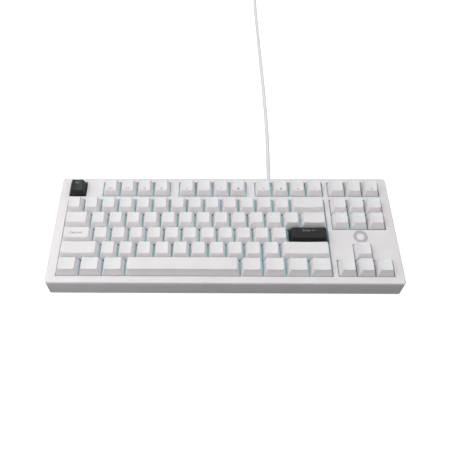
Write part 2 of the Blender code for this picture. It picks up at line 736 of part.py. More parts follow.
def make_cable():
    tube("usb_cable", smooth_route(CORD_ROUTE, CORD_STEP), CORD_RADIUS, "cord")


def coil_half_section():
    """Half the width and half the height of the coil's bundle of turns."""
    return COIL_TURNS_ACROSS * CORD_RADIUS, COIL_LAYERS * CORD_RADIUS


def coil_middle():
    """The coil lies to the left of the cable, which runs into its outermost turn."""
    half_width, half_height = coil_half_section()
    outermost = COIL_MIDDLE_RADIUS + half_width - CORD_RADIUS
    return Vector((CORD_ROUTE[-1][0] - outermost, COIL_Y, COIL_LIFT + half_height))


def make_coil():
    """The unused length of the cable, as the outer shape of its turns."""
    half_width, half_height = coil_half_section()
    inner, outer = COIL_MIDDLE_RADIUS - half_width, COIL_MIDDLE_RADIUS + half_width
    soft = CORD_RADIUS * 0.6
    profile = ((inner + soft, half_height), (outer - soft, half_height),
               (outer, half_height - soft), (outer, soft - half_height),
               (outer - soft, -half_height), (inner + soft, -half_height),
               (inner, soft - half_height), (inner, half_height - soft),
               (inner + soft, half_height))
    turned("cable_coil", profile, "cord", None, coil_middle(), (0, 0, 0), 40)


def make_tie():
    """A strap round the coil's turns, on the side away from the plug."""
    half_width, half_height = coil_half_section()
    wide = half_width + GAP + TIE_BOW
    high = half_height + GAP
    reach = TIE_WIDTH / 2
    bm = bmesh.new()
    add_block(bm, (-wide - TIE_THICKNESS, wide + TIE_THICKNESS), (-reach, reach),
              (-high - TIE_THICKNESS, high + TIE_THICKNESS))
    middle = coil_middle() + Vector((-COIL_MIDDLE_RADIUS, 0, 0))
    tie = place("cable_tie", mesh_from(bm, "cable_tie"), "tie", None, middle)
    inside = bmesh.new()
    add_block(inside, (-wide, wide), (-TIE_WIDTH, TIE_WIDTH), (-high, high))
    combine(tie, inside, "DIFFERENCE", "inside")


def make_plug():
    """The USB plug beside the coil: a moulded grip and a steel shell with a contact tongue."""
    coil = coil_middle()
    outer = COIL_MIDDLE_RADIUS + coil_half_section()[0]
    turn = outer - CORD_RADIUS
    length, width, height = GRIP_SIZE
    near_edge = turn - width / 2
    x = coil.x - math.sqrt(outer ** 2 - near_edge ** 2) - GAP
    y = coil.y + turn
    grip = bmesh.new()
    verts = add_block(grip, (-length, 0), (-width / 2, width / 2), (-height / 2, height / 2))
    round_upright_edges(grip, verts, 2 * MM, 3)
    place("plug_grip", mesh_from(grip, "plug_grip"), "cord", None, (x, y, height / 2))

    length, width, thickness = SHELL_SIZE
    shell = bmesh.new()
    add_block(shell, (-length, 0), (-width / 2, width / 2), (-thickness / 2, thickness / 2))
    part = place("plug_shell", mesh_from(shell, "plug_shell"), "steel", None,
                 (x - GRIP_SIZE[0] - GAP, y, height / 2))
    mouth = bmesh.new()
    side, lid = width / 2 - SHELL_WALL, thickness / 2 - SHELL_WALL
    add_block(mouth, (-length - BITE, -SHELL_BACK), (-side, side), (0, lid))
    combine(part, mouth, "DIFFERENCE", "mouth")


def main():
    make_top_case()
    make_bottom_case()
    make_switch_plate()
    make_circuit_board()
    make_stabiliser_wires()
    make_keys()
    make_badge()
    make_rubber_pads()
    make_fold_out_feet()
    make_strain_relief()
    make_cable()
    make_coil()
    make_tie()
    make_plug()


main()
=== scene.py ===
"""Looks of the tenkeyless mechanical keyboard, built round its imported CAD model.

The typing plane is the top of the switch plate, tilted about X. Pieces on it are made flat,
in plate coordinates (x to the right, y up the slope, z off the plate), and take the matrix
TYPING. Columns and rows are counted in key pitches.
"""

import json
import math
from collections import namedtuple

import bmesh
import bpy
from mathutils import Euler, Matrix, Vector


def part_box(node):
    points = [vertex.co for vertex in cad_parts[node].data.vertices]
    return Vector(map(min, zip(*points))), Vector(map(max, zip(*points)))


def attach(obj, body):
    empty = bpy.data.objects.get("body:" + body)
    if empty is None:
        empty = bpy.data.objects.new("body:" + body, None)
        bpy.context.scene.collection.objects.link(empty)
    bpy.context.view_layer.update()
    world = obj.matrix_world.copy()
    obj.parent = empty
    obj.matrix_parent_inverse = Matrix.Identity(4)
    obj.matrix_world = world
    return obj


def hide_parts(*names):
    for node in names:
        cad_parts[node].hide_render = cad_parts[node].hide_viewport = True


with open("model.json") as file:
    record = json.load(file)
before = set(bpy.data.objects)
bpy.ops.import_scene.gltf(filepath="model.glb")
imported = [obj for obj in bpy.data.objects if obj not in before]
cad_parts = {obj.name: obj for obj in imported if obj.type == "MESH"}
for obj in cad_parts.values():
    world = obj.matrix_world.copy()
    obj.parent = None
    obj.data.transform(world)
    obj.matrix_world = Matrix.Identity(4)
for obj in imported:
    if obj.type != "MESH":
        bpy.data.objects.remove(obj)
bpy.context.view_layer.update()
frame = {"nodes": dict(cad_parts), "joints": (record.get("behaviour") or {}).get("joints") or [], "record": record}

# ---------------------------------------------------------------- sizes
MM = 0.001
PITCH = 19.05 * MM
COLUMNS = 18.3
FIELD_FRONT = -3.125                 # the key field's front edge, in pitches from its middle
CASE_BODY = "case"

CAP_GAP = 0.95 * MM                  # between the skirts of neighbouring caps
CAP_SIDE_SLOPE = 2.8 * MM
CAP_WALL = 1.4 * MM
CAP_EDGE = 0.45 * MM                 # rounding round a cap's top
CAP_FOOT_CORNER = 0.9 * MM
CAP_TOP_CORNER = 1.3 * MM
CAP_DISH = 0.75 * MM
SPACE_CROWN = 0.5 * MM
SKIRT = 6.1 * MM                     # bottom of the caps at rest, above the plate
SLIDER_SIZE = (6.2 * MM, 5.2 * MM)
SLIDER_BOTTOM = 1.2 * MM
STEM_SIZE = (3.0 * MM, 4.0 * MM)     # stabiliser stems to each side of a wide key's slider
STEM_BOTTOM = 1.5 * MM
STEM_OFFSET = 11.9 * MM
SPACE_STEM_OFFSET = 50.0 * MM
STABILISED_WIDTH = 2
CAP_ROOF = 0.78                      # underside of a cap's top, as a share of its height
CAP_SIDE_RINGS = (0.0, 0.25, 0.5, 0.75)
CAP_TOP_RINGS = (0.86, 0.66, 0.44, 0.24, 0.08)
CAP_EDGE_STEPS = 3
CAP_BULGE = 1.12                     # above 1, a cap's sides lean in more near its top
CAP_MIN_CORNER = 0.2 * MM
STEM_CORNER = 0.5 * MM

PLATE_THICKNESS = 1.5 * MM
CASE_FRONT = -67.9 * MM              # the case's edges in the typing plane
CASE_BACK = 66.0 * MM
CASE_WIDTH = 369.2 * MM
CASE_CORNER = 3.4 * MM
CASE_WALL = 2.6 * MM
CASE_DRAFT = math.tan(math.radians(0.8))
CASE_FLOOR = 2.2 * MM
BEZEL_TOP = 8.0 * MM
RIM = 5.8 * MM                       # underside of the bezel
PARTING_GAP = 0.3 * MM
FOOT_CLEARANCE = 1.6 * MM
OPENING_MARGIN = 0.3 * MM
LEFT_MARGIN = -0.1 * MM              # at the field's left edge, where the caps sit close
BADGE_RADIUS = 7.2 * MM
OPENING_EDGE = 0.5 * MM              # rounding round the bezel's openings
RIM_EDGE = 1.5 * MM                  # rounding round the bezel's outer edge
FLOOR_EDGE = 1.1 * MM                # rounding under the tray

CORD_DIAMETER = 4.5 * MM
COIL_MIDDLE_RADIUS = 25 * MM
COIL_TURNS_ACROSS = 4
COIL_POINTS_PER_TURN = 24
COIL_LAST_TURN = 0.25                # the part of a turn that ends beside the plug


# ---------------------------------------------------------------- frames taken from the CAD
def corners(node):
    """The lower and the upper corner of a CAD node's box."""
    return [Vector(corner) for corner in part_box(node)]


def box_middle(node):
    low, high = corners(node)
    return (low + high) / 2


travel = next(j for j in frame["joints"] if j["name"] == "key_escape_travel")
PLATE_NORMAL = -Vector(travel["axis"]).normalized()
UP_SLOPE = PLATE_NORMAL.cross(Vector((1, 0, 0)))
PLATE_ORIGIN = box_middle("switch_plate") + PLATE_NORMAL * PLATE_THICKNESS / 2
TYPING = Matrix.Translation(PLATE_ORIGIN) @ Matrix(
    ((1, UP_SLOPE.x, PLATE_NORMAL.x), (0, UP_SLOPE.y, PLATE_NORMAL.y),
     (0, UP_SLOPE.z, PLATE_NORMAL.z))).to_4x4()
TRAY_LOW, TRAY_HIGH = corners("bottom_case")
RELIEF_LOW, RELIEF_HIGH = corners("strain_relief")

# ---------------------------------------------------------------- camera
CAMERA_TARGET = Vector((-18.78, 2.66, 29.36)) * MM
CAMERA_DISTANCE = 582.3 * MM
CAMERA_AZIMUTH = math.radians(1.11)  # positive to the object's right
CAMERA_ELEVATION = math.radians(52.64)
CAMERA_ROLL = math.radians(-0.72)
CAMERA_LENS = 42.907                 # millimetres
SENSOR_WIDTH = 36
CAMERA_SHIFT = 0.0407                # part of the frame's width that the lens is shifted


def place_camera():
    """A camera turned about its target by the azimuth, the elevation and the roll."""
    camera = bpy.data.cameras.new("camera")
    camera.sensor_width = SENSOR_WIDTH
    camera.lens = CAMERA_LENS
    camera.shift_x = CAMERA_SHIFT
    view = bpy.data.objects.new("camera", camera)
    bpy.context.scene.collection.objects.link(view)
    away = Vector((math.sin(CAMERA_AZIMUTH) * math.cos(CAMERA_ELEVATION),
                   -math.cos(CAMERA_AZIMUTH) * math.cos(CAMERA_ELEVATION),
                   math.sin(CAMERA_ELEVATION)))
    view.location = CAMERA_TARGET + away * CAMERA_DISTANCE
    look = (-away).to_track_quat("-Z", "Y")
    view.rotation_euler = (look @ Euler((0, 0, CAMERA_ROLL)).to_quaternion()).to_euler()
    bpy.context.scene.camera = view


# ---------------------------------------------------------------- keys
# y is the row's middle in pitches; heights run from the skirt to the top's front and back
# edges; front and back place those edges from the row's middle.
Row = namedtuple("Row", "y front_height back_height front back")
KEY_ROWS = {
    "function": Row(2.625, 9.5 * MM, 11.2 * MM, -6.6 * MM, 7.0 * MM),
    "number": Row(1.375, 9.8 * MM, 11.2 * MM, -5.5 * MM, 7.1 * MM),
    "upper": Row(0.375, 9.0 * MM, 10.1 * MM, -5.6 * MM, 7.1 * MM),
    "home": Row(-0.625, 9.2 * MM, 9.6 * MM, -5.6 * MM, 6.9 * MM),
    "lower": Row(-1.625, 9.9 * MM, 9.9 * MM, -6.1 * MM, 8.0 * MM),
    "bottom": Row(-2.625, 10.0 * MM, 9.9 * MM, -6.0 * MM, 8.0 * MM),
}
# A key's body, its row, its left edge and width in pitches, its lit legend and a small
# unlit one.
Key = namedtuple("Key", "body row column width legend note", defaults=("", ""))
SINGLE_KEYS = (
    Key("key_escape", "function", 0, 1, "Esc"),
    Key("key_print_screen", "function", 15.3, 1, "Prt"),
    Key("key_scroll_lock", "function", 16.3, 1, "Scr"),
    Key("key_pause", "function", 17.3, 1, "Pau", "||"),
    Key("key_backspace", "number", 13, 2, "Back"),
    Key("key_insert", "number", 15.3, 1, "Ins"),
    Key("key_home", "number", 16.3, 1, "Home"),
    Key("key_page_up", "number", 17.3, 1, "PgUp"),
    Key("key_tab", "upper", 0, 1.5, "Tab"),
    Key("key_backslash", "upper", 13.5, 1.5, "\\ |"),
    Key("key_delete", "upper", 15.3, 1, "Del"),
    Key("key_end", "upper", 16.3, 1, "End"),
    Key("key_page_down", "upper", 17.3, 1, "PgDn"),
    Key("key_caps_lock", "home", 0, 1.75, "", "Caps Lock"),
    Key("key_enter", "home", 12.75, 2.25, "Enter <-"),
    Key("key_shift_left", "lower", 0, 2.25, "Shift"),
    Key("key_shift_right", "lower", 12.25, 2.75, "Shift"),
    Key("key_up", "lower", 16.3, 1, "^"),
    Key("key_control_left", "bottom", 0, 1.25, "Ctrl"),
    Key("key_super_left", "bottom", 1.25, 1.25, "Super"),
    Key("key_alt_left", "bottom", 2.5, 1.25, "Alt"),
    Key("key_space", "bottom", 3.75, 6.25),
    Key("key_alt_right", "bottom", 10, 1.25, "Alt"),
    Key("key_fn", "bottom", 11.25, 1.25, "Fn"),
    Key("key_menu", "bottom", 12.5, 1.25, "Menu"),
    Key("key_control_right", "bottom", 13.75, 1.25, "Ctrl"),
    Key("key_left", "bottom", 15.3, 1, "<"),
    Key("key_down", "bottom", 16.3, 1, "v"),
    Key("key_right", "bottom", 17.3, 1, ">"),
)
# Runs of one-pitch keys that share a body: the row, the first column, the keys' lit legends
# and their small unlit ones.
KeyRun = namedtuple("KeyRun", "body row column legends notes", defaults=("",))
KEY_RUNS = (
    KeyRun("keys_f1_to_f4", "function", 2, "F1 F2 F3 F4", "|<< >> >| []"),
    KeyRun("keys_f5_to_f8", "function", 6.5, "F5 F6 F7 F8", "x - + @"),
    KeyRun("keys_f9_to_f12", "function", 11, "F9 F10 F11 F12", "= # o ::"),
    KeyRun("keys_number_left", "number", 0, "~` 1! 2@ 3# 4$ 5% 6^"),
    KeyRun("keys_number_right", "number", 7, "7& 8* 9( 0) -_ =+"),
    KeyRun("keys_upper_row", "upper", 1.5, "Q W E R T Y U I O P [{ ]}"),
    KeyRun("keys_home_row", "home", 1.75, "A S D F G H J K L ;: '\""),
    KeyRun("keys_lower_row", "lower", 2.25, "Z X C V B N M ,< .> /?"),
)
DARK_KEYS = ("key_escape", "key_enter")
ARROW_KEYS = ("key_up", "key_left", "key_down", "key_right")


def column_x(column):
    return (column - COLUMNS / 2) * PITCH


def run_keys(run):
    """The keys of a run, each with its own legends."""
    legends = run.legends.split()
    notes = run.notes.split() or [""] * len(legends)
    return [Key(run.body, run.row, run.column + index, 1, legend, note)
            for index, (legend, note) in enumerate(zip(legends, notes))]


def keys_by_body():
    groups = {key.body: [key] for key in SINGLE_KEYS}
    groups.update({run.body: run_keys(run) for run in KEY_RUNS})
    return groups


# ---------------------------------------------------------------- materials
def node_material(name):
    material = bpy.data.materials.new(name)
    material.use_nodes = True
    tree = material.node_tree
    return material, tree, tree.nodes["Principled BSDF"]


def set_inputs(tree, node, inputs):
    """Give a node's inputs their values or links."""
    for name, value in inputs.items():
        if isinstance(value, bpy.types.NodeSocket):
            tree.links.new(value, node.inputs[name])
        else:
            node.inputs[name].default_value = value


def add_node(tree, kind, inputs=None, **settings):
    """Add a shader node, with its settings and its inputs' values or links."""
    node = tree.nodes.new(kind)
    for name, value in settings.items():
        setattr(node, name, value)
    set_inputs(tree, node, inputs or {})
    return node


def object_place(tree):
    return add_node(tree, "ShaderNodeTexCoord").outputs["Object"]


def noise_value(tree, scale, detail, place=None):
    """A noise pattern in object coordinates, as a value from 0 to 1."""
    return add_node(tree, "ShaderNodeTexNoise", {"Vector": place or object_place(tree),
                                                 "Scale": scale,
                                                 "Detail": detail}).outputs["Fac"]


def arithmetic(tree, operation, first, second):
    return add_node(tree, "ShaderNodeMath", {0: first, 1: second},
                    operation=operation).outputs[0]


def bumps(tree, height, strength, distance):
    return add_node(tree, "ShaderNodeBump", {"Height": height, "Strength": strength,
                                             "Distance": distance}).outputs["Normal"]


def ramp(tree, factor, stops):
    """Map a value to colours, given (position, colour) stops."""
    node = add_node(tree, "ShaderNodeValToRGB", {"Fac": factor})
    elements = node.color_ramp.elements
    while len(elements) < len(stops):
        elements.new(0.5)
    for element, (position, colour) in zip(elements, stops):
        element.position = position
        element.color = (*colour, 1)
    return node.outputs["Color"]


def spread(tree, factor, low, high):
    """Map a value from 0..1 to low..high."""
    return add_node(tree, "ShaderNodeMapRange", {"Value": factor, "To Min": low,
                                                 "To Max": high}).outputs["Result"]


def shade(colour, factor):
    return tuple(channel * factor for channel in colour)


def plastic(name, colour, roughness, grain_scale, grain_depth, tint=(1.0, 1.0, 1.0)):
    """Moulded plastic: faint mottling, fine spark-erosion grain, and uneven gloss."""
    material, tree, shader = node_material(name)
    random_offset = add_node(tree, "ShaderNodeObjectInfo").outputs["Random"]
    place = add_node(tree, "ShaderNodeVectorMath", {0: object_place(tree), 1: random_offset},
                     operation="ADD").outputs["Vector"]
    warm = tuple(c * t for c, t in zip(colour, tint))
    base = ramp(tree, noise_value(tree, 55, 4, place),
                ((0.30, shade(warm, 0.98)), (0.55, colour), (0.75, shade(colour, 1.02))))
    smudges = noise_value(tree, 160, 2)
    grain = noise_value(tree, grain_scale, 2)
    set_inputs(tree, shader, {
        "Base Color": base,
        "Roughness": spread(tree, smudges, roughness - 0.07, roughness + 0.07),
        "Normal": bumps(tree, grain, 0.5, grain_depth),
        "Specular IOR Level": 0.4})
    return material


def glowing(name, resin, colour, cooler, strength):
    """Translucent resin with LED light in it, which drifts in hue and in strength."""
    material, tree, shader = node_material(name)
    clouding = noise_value(tree, 700, 2)
    drift = noise_value(tree, 38, 2)
    power = noise_value(tree, 90, 2)
    set_inputs(tree, shader, {
        "Base Color": ramp(tree, clouding, ((0.3, shade(resin, 0.92)), (0.7, resin))),
        "Emission Color": ramp(tree, drift, ((0.38, colour), (0.62, cooler))),
        "Emission Strength": spread(tree, power, strength * 0.75, strength * 1.25),
        "Roughness": 0.5})
    return material


def painted_glow_reach(tree):
    """How much of the switches' light, painted on as glow, gets out, from 0 to 1, across the key field.

    Painted shade: the glow is dark at the field's left and front edges, and dim round the keys on the right.
    """
    axes = add_node(tree, "ShaderNodeSeparateXYZ", {"Vector": object_place(tree)}).outputs
    front = (TYPING @ Vector((0, FIELD_FRONT * PITCH, 0))).y
    across = add_node(tree, "ShaderNodeMapRange", {"Value": axes["X"],
                                                   "From Min": column_x(0),
                                                   "From Max": column_x(COLUMNS)})
    stops = [(column / COLUMNS, (level, level, level)) for column, level in PAINTED_GLOW_ACROSS]
    sideways = ramp(tree, across.outputs["Result"], stops)
    forward = add_node(tree, "ShaderNodeMapRange", {"Value": axes["Y"],
                                                    "From Min": front + PAINTED_GLOW_STARTS,
                                                    "From Max": front + PAINTED_GLOW_FULL})
    return arithmetic(tree, "MULTIPLY", sideways, forward.outputs["Result"])


def painted_glow_plate(name, paint, glow, cooler, strength):
    """White powder coat with the switches' light painted on it as emission, in patches of teal and blue."""
    material, tree, shader = node_material(name)
    speckle = noise_value(tree, 900, 3)
    patches = noise_value(tree, 30, 1)
    reach = arithmetic(tree, "MULTIPLY", noise_value(tree, 62, 2), painted_glow_reach(tree))
    set_inputs(tree, shader, {
        "Base Color": ramp(tree, speckle, ((0.35, shade(paint, 0.9)), (0.7, paint))),
        "Emission Color": ramp(tree, patches, ((0.50, glow), (0.72, cooler))),
        "Emission Strength": spread(tree, reach, 0, strength * 2),
        "Normal": bumps(tree, noise_value(tree, 2600, 2), 0.4, 0.00004),
        "Roughness": 0.55})
    return material


def metal(name, colour, roughness, scratch_stretch):
    """Bright metal with fine scratches along one direction."""
    material, tree, shader = node_material(name)
    stretched = add_node(tree, "ShaderNodeMapping", {"Vector": object_place(tree),
                                                     "Scale": scratch_stretch})
    scratches = noise_value(tree, 900, 4, stretched.outputs["Vector"])
    set_inputs(tree, shader, {
        "Base Color": ramp(tree, scratches, ((0.3, shade(colour, 0.8)), (0.7, colour))),
        "Roughness": spread(tree, scratches, roughness - 0.06, roughness + 0.12),
        "Metallic": 1})
    return material


def woven(name, colour, thread_scale):
    """Woven strap: crossed waves for the threads and a little fuzz."""
    material, tree, shader = node_material(name)
    warp, weft = (add_node(tree, "ShaderNodeTexWave", {"Vector": object_place(tree),
                                                       "Scale": thread_scale,
                                                       "Distortion": 0.6},
                           bands_direction=direction).outputs["Fac"] for direction in "XY")
    threads = arithmetic(tree, "MAXIMUM", warp, weft)
    set_inputs(tree, shader, {
        "Base Color": ramp(tree, threads, ((0.2, shade(colour, 0.6)), (0.8, colour))),
        "Normal": bumps(tree, threads, 0.8, 0.0003),
        "Roughness": 0.9,
        "Sheen Weight": 0.3})
    return material


# The painted glow across the field, as (column, level), and where it starts behind the front edge; its low levels
# are painted shade.
PAINTED_GLOW_ACROSS = ((0.05, 0.0), (0.15, 1.0), (14.7, 1.0), (14.95, 0.45), (15.35, 0.45),
                (15.5, 0.75), (17.2, 0.75), (17.8, 0.4), (18.28, 0.2))
PAINTED_GLOW_STARTS = 1.2 * MM
PAINTED_GLOW_FULL = 3.0 * MM
# Colours of the switches' light, painted on the board and the plate as emission.
TEAL = (0.06, 0.62, 0.60)
BLUE = (0.13, 0.52, 0.74)
FINISH = {
    "cap_white": plastic("cap_white", (0.86, 0.835, 0.85), 0.46, 5200, 0.00002,
                         (1.0, 0.985, 0.99)),
    "cap_black": plastic("cap_black", (0.012, 0.012, 0.014), 0.42, 5200, 0.00003),
    "shell_white": plastic("shell_white", (0.84, 0.815, 0.832), 0.40, 3800, 0.00003,
                           (1.0, 0.98, 0.985)),
    "cord_white": plastic("cord_white", (0.92, 0.91, 0.92), 0.55, 2600, 0.00005),
    "badge_grey": plastic("badge_grey", (0.52, 0.505, 0.525), 0.34, 3800, 0.00002),
    "rubber_grey": plastic("rubber_grey", (0.045, 0.045, 0.05), 0.80, 1500, 0.0001),
    # The board and the plate glow with painted emission that stands in for the switches' light falling on them.
    "board_black": painted_glow_plate("board_black", (0.06, 0.09, 0.09), TEAL, BLUE, 0.20),
    "plate_white": painted_glow_plate("plate_white", (0.42, 0.45, 0.45), TEAL, BLUE, 0.52),
    "bright_steel": metal("bright_steel", (0.62, 0.62, 0.64), 0.26, (1, 0.06, 1)),
    "strap_grey": woven("strap_grey", (0.42, 0.42, 0.44), 260),
}
CONTACT_GOLD = metal("contact_gold", (0.78, 0.58, 0.26), 0.25, (0.1, 1, 1))
LEGEND_GLOW = glowing("legend_glow", (0.30, 0.46, 0.44), (0.55, 1.0, 0.95),
                      (0.58, 0.95, 1.0), 0.5)
LEGEND_DIM = glowing("legend_dim", (0.06, 0.10, 0.10), (0.40, 0.75, 0.75),
                     (0.45, 0.66, 0.74), 0.16)
LEGEND_INK = plastic("legend_ink", (0.26, 0.26, 0.27), 0.6, 5200, 0.00002)


# ---------------------------------------------------------------- objects
SHARP_ANGLE = math.radians(35)       # edges sharper than this stay sharp
BEZEL_SHARPNESS = math.radians(40)
WIDE_SHARPNESS = math.radians(60)    # for the caps and the table, which curve in few steps
WELD = 1e-6                          # points nearer than this are one point


def add_piece(name, data, slot, body, replaces=(), matrix=None, material=None):
    """Put a mesh or curve in the scene as a piece that rides on a body."""
    piece = bpy.data.objects.new(name, data)
    piece.data.materials.clear()
    piece.data.materials.append(material or FINISH[slot])
    if matrix is not None:
        piece.matrix_world = matrix
    bpy.context.scene.collection.objects.link(piece)
    if replaces:
        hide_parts(*replaces)
    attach(piece, body)
    return piece


def smooth(mesh, angle=SHARP_ANGLE):
    mesh.shade_smooth()
    mesh.set_sharp_from_angle(angle=angle)
    return mesh


def evaluated_mesh(holder):
    """The mesh of an object as its modifiers leave it; the object is removed."""
    bpy.context.scene.collection.objects.link(holder)
    bpy.context.view_layer.update()
    shown = holder.evaluated_get(bpy.context.evaluated_depsgraph_get())
    mesh = bpy.data.meshes.new_from_object(shown)
    bpy.data.objects.remove(holder, do_unlink=True)
    return mesh


def mesh_from(bm, name, angle=SHARP_ANGLE):
    bmesh.ops.recalc_face_normals(bm, faces=bm.faces)
    mesh = bpy.data.meshes.new(name)
    bm.to_mesh(mesh)
    bm.free()
    return smooth(mesh, angle)


def ring_of(radius, height, segments):
    return [(radius * math.cos(turn), radius * math.sin(turn), height)
            for turn in (2 * math.pi * index / segments for index in range(segments))]


def rounded_rectangle(x_range, y_range, radius, along_x=1, along_y=1, corner=5):
    """Points of a rounded rectangle, anticlockwise from the right side's lower end."""
    (left, right), (front, back) = x_range, y_range
    inner = ((right - radius, front + radius), (right - radius, back - radius),
             (left + radius, back - radius), (left + radius, front + radius))
    points = []
    for index, (x, y) in enumerate(inner):
        start = (index - 1) * math.pi / 2
        arc = [(x + radius * math.cos(start + step * math.pi / 2 / corner),
                y + radius * math.sin(start + step * math.pi / 2 / corner))
               for step in range(corner + 1)]
        if points:
            points.extend(between(points[-1], arc[0], along_y if index % 2 else along_x))
        points.extend(arc)
    points.extend(between(points[-1], points[0], along_x))
    return points


def between(start, end, count):
    """The points that cut a straight side into count stretches."""
    return [tuple(a + (b - a) * step / count for a, b in zip(start, end))
            for step in range(1, count)]


def loft(bm, rings, close_start=True, close_end=True):
    """Join rings of the same number of points with quads, and fill the end rings."""
    levels = [[bm.verts.new(point) for point in ring] for ring in rings]
    for lower, upper in zip(levels, levels[1:]):
        for index in range(len(lower)):
            following = (index + 1) % len(lower)
            bm.faces.new((lower[index], lower[following], upper[following], upper[index]))
    if close_start:
        bm.faces.new(reversed(levels[0]))
    if close_end:
        bm.faces.new(levels[-1])
    return levels


def box_rings(low, high, axes, radius, stations, **points):
    """Rings of a box whose edges along one axis are rounded.

    axes names the two axes across the rings, then the one along which the stations follow
    each other, each an inset and a position.
    """
    first, second, along = ("xyz".index(axis) for axis in axes)
    rings = []
    for inset, position in stations:
        ring = []
        for pair in rounded_rectangle((low[first] + inset, high[first] - inset),
                                      (low[second] + inset, high[second] - inset),
                                      radius - inset, **points):
            point = Vector()
            point[first], point[second] = pair
            point[along] = position
            ring.append(point)
        rings.append(ring)
    return rings


# ---------------------------------------------------------------- key caps
def cap_top(row, width, crowned, x, y):
    """Height of a cap's top above its skirt: a slope with a hollow or a crown in it."""
    slope = (row.back_height - row.front_height) / (row.back - row.front)
    height = row.front_height + slope * (y - row.front)
    if crowned:
        middle = (row.front + row.back) / 2
        reach = (row.back - row.front) / 2
        return height + SPACE_CROWN * (1 - min(1, ((y - middle) / reach) ** 2))
    half = width / 2 - CAP_SIDE_SLOPE
    return height - CAP_DISH * (1 - min(1, (x / half) ** 2))


def cap_ring(row, width, crowned, climb, inset, drop, shrink=1.0):
    """One ring of a cap: climb runs from 0 at the skirt to 1 at the top's edge."""
    lean = climb ** CAP_BULGE
    depth = PITCH - CAP_GAP
    half = width / 2 - CAP_SIDE_SLOPE * lean - inset
    front = -depth / 2 + (row.front + depth / 2) * lean + inset
    back = depth / 2 + (row.back - depth / 2) * lean - inset
    middle = (front + back) / 2
    front, back = (middle + (edge - middle) * shrink for edge in (front, back))
    half *= shrink
    corner = CAP_FOOT_CORNER + (CAP_TOP_CORNER - CAP_FOOT_CORNER) * climb
    corner = max(CAP_MIN_CORNER, (corner - inset) * shrink)
    outline = rounded_rectangle((-half, half), (front, back), corner, along_x=10, along_y=3,
                                corner=4)
    return [(x, y, climb * (cap_top(row, width, crowned, x, y) - drop))
            for x, y in outline]


def make_cap_mesh(name, row, width_in_pitches, crowned):
    """A cap as one closed shell: skirt, sides, rounded edge, dished top, hollow below."""
    width = width_in_pitches * PITCH - CAP_GAP
    rings = []
    for climb in (CAP_ROOF, 0.0):
        rings.append(cap_ring(row, width, crowned, climb, CAP_WALL, 0))
    for climb in CAP_SIDE_RINGS:
        rings.append(cap_ring(row, width, crowned, climb, 0, CAP_EDGE))
    for step in range(CAP_EDGE_STEPS + 1):
        turn = step * math.pi / 2 / CAP_EDGE_STEPS
        rings.append(cap_ring(row, width, crowned, 1, CAP_EDGE * (1 - math.cos(turn)),
                              CAP_EDGE * (1 - math.sin(turn))))
    for shrink in CAP_TOP_RINGS:
        rings.append(cap_ring(row, width, crowned, 1, CAP_EDGE, 0, shrink))
    bm = bmesh.new()
    loft(bm, rings)
    roof = row.front_height * (CAP_ROOF + 1) / 2
    add_stem(bm, 0, SLIDER_SIZE, SLIDER_BOTTOM, roof)
    if width_in_pitches >= STABILISED_WIDTH:
        reach = SPACE_STEM_OFFSET if crowned else STEM_OFFSET
        for x in (-reach, reach):
            add_stem(bm, x, STEM_SIZE, STEM_BOTTOM, roof)
    return mesh_from(bm, name, WIDE_SHARPNESS)


def add_stem(bm, x, size, bottom, roof):
    """An upright bar under a cap; bottom is its height above the plate."""
    box_piece(bm, (x - size[0] / 2, x + size[0] / 2), (-size[1] / 2, size[1] / 2),
              (bottom - SKIRT, roof), STEM_CORNER)


def cap_slot(body):
    return "cap_black" if body in DARK_KEYS else "cap_white"


def key_middle(key):
    return column_x(key.column + key.width / 2), KEY_ROWS[key.row].y * PITCH


def make_caps():
    """Every cap is a piece of its own on its key's body, and stands for the CAD's key."""
    shapes = {}
    for body, keys in keys_by_body().items():
        for number, key in enumerate(keys, 1):
            shape = (key.row, key.width)
            if shape not in shapes:
                shapes[shape] = make_cap_mesh(f"cap_{key.row}_{len(shapes)}",
                                              KEY_ROWS[key.row], key.width,
                                              key.body == "key_space")
            name = f"cap_{body}" if len(keys) == 1 else f"cap_{body}_{number}"
            place = TYPING @ Matrix.Translation((*key_middle(key), SKIRT))
            add_piece(name, shapes[shape].copy(), cap_slot(body), body, (body,), place)


# ---------------------------------------------------------------- legends
LEGEND_HEIGHT = 3.3 * MM
WORD_HEIGHT = 2.8 * MM
ARROW_HEIGHT = 4.4 * MM
NOTE_HEIGHT = 2.2 * MM
LEGEND_INSET = 3.4 * MM              # middle of the lit legend, forward of the top's back
NOTE_INSET = 2.6 * MM                # middle of the small legend, behind the top's front
LEGEND_WEIGHT = 0.06 * MM            # how far the strokes are thickened
ARROW_WEIGHT = 0.28 * MM
NOTE_WEIGHT = 0.06 * MM
INK_PROUD = 0.04 * MM                # the letters' height above the cap
INK_DEPTH = 0.14 * MM
LETTER_SHARE = 0.7                   # a capital's height, as a share of the font's size
SHORT_LEGEND = 2                     # up to this many letters, a legend is not a word


def text_mesh(text, height, weight):
    """Flat letters of the built-in font, centred on the origin, with a thickness."""
    curve = bpy.data.curves.new("legend", "FONT")
    curve.body = text
    curve.size = height / LETTER_SHARE
    curve.offset = weight
    curve.align_x = "CENTER"
    curve.align_y = "CENTER"
    curve.extrude = INK_DEPTH / 2
    curve.resolution_u = 3
    mesh = evaluated_mesh(bpy.data.objects.new("legend", curve))
    bpy.data.curves.remove(curve)
    return mesh


def add_legend(bm, key, text, height, forward, weight):
    """Lay letters into a cap's top: each point follows the top's dish."""
    row = KEY_ROWS[key.row]
    middle_x, middle_y = key_middle(key)
    width = key.width * PITCH - CAP_GAP
    letters = text_mesh(text, height, weight)
    for vert in letters.vertices:
        x, y = vert.co.x, vert.co.y + forward
        surface = cap_top(row, width, False, x, y)
        depth = INK_PROUD if vert.co.z > 0 else INK_PROUD - INK_DEPTH
        vert.co = (x + middle_x, y + middle_y, surface + depth + SKIRT)
    bm.from_mesh(letters)
    bpy.data.meshes.remove(letters)


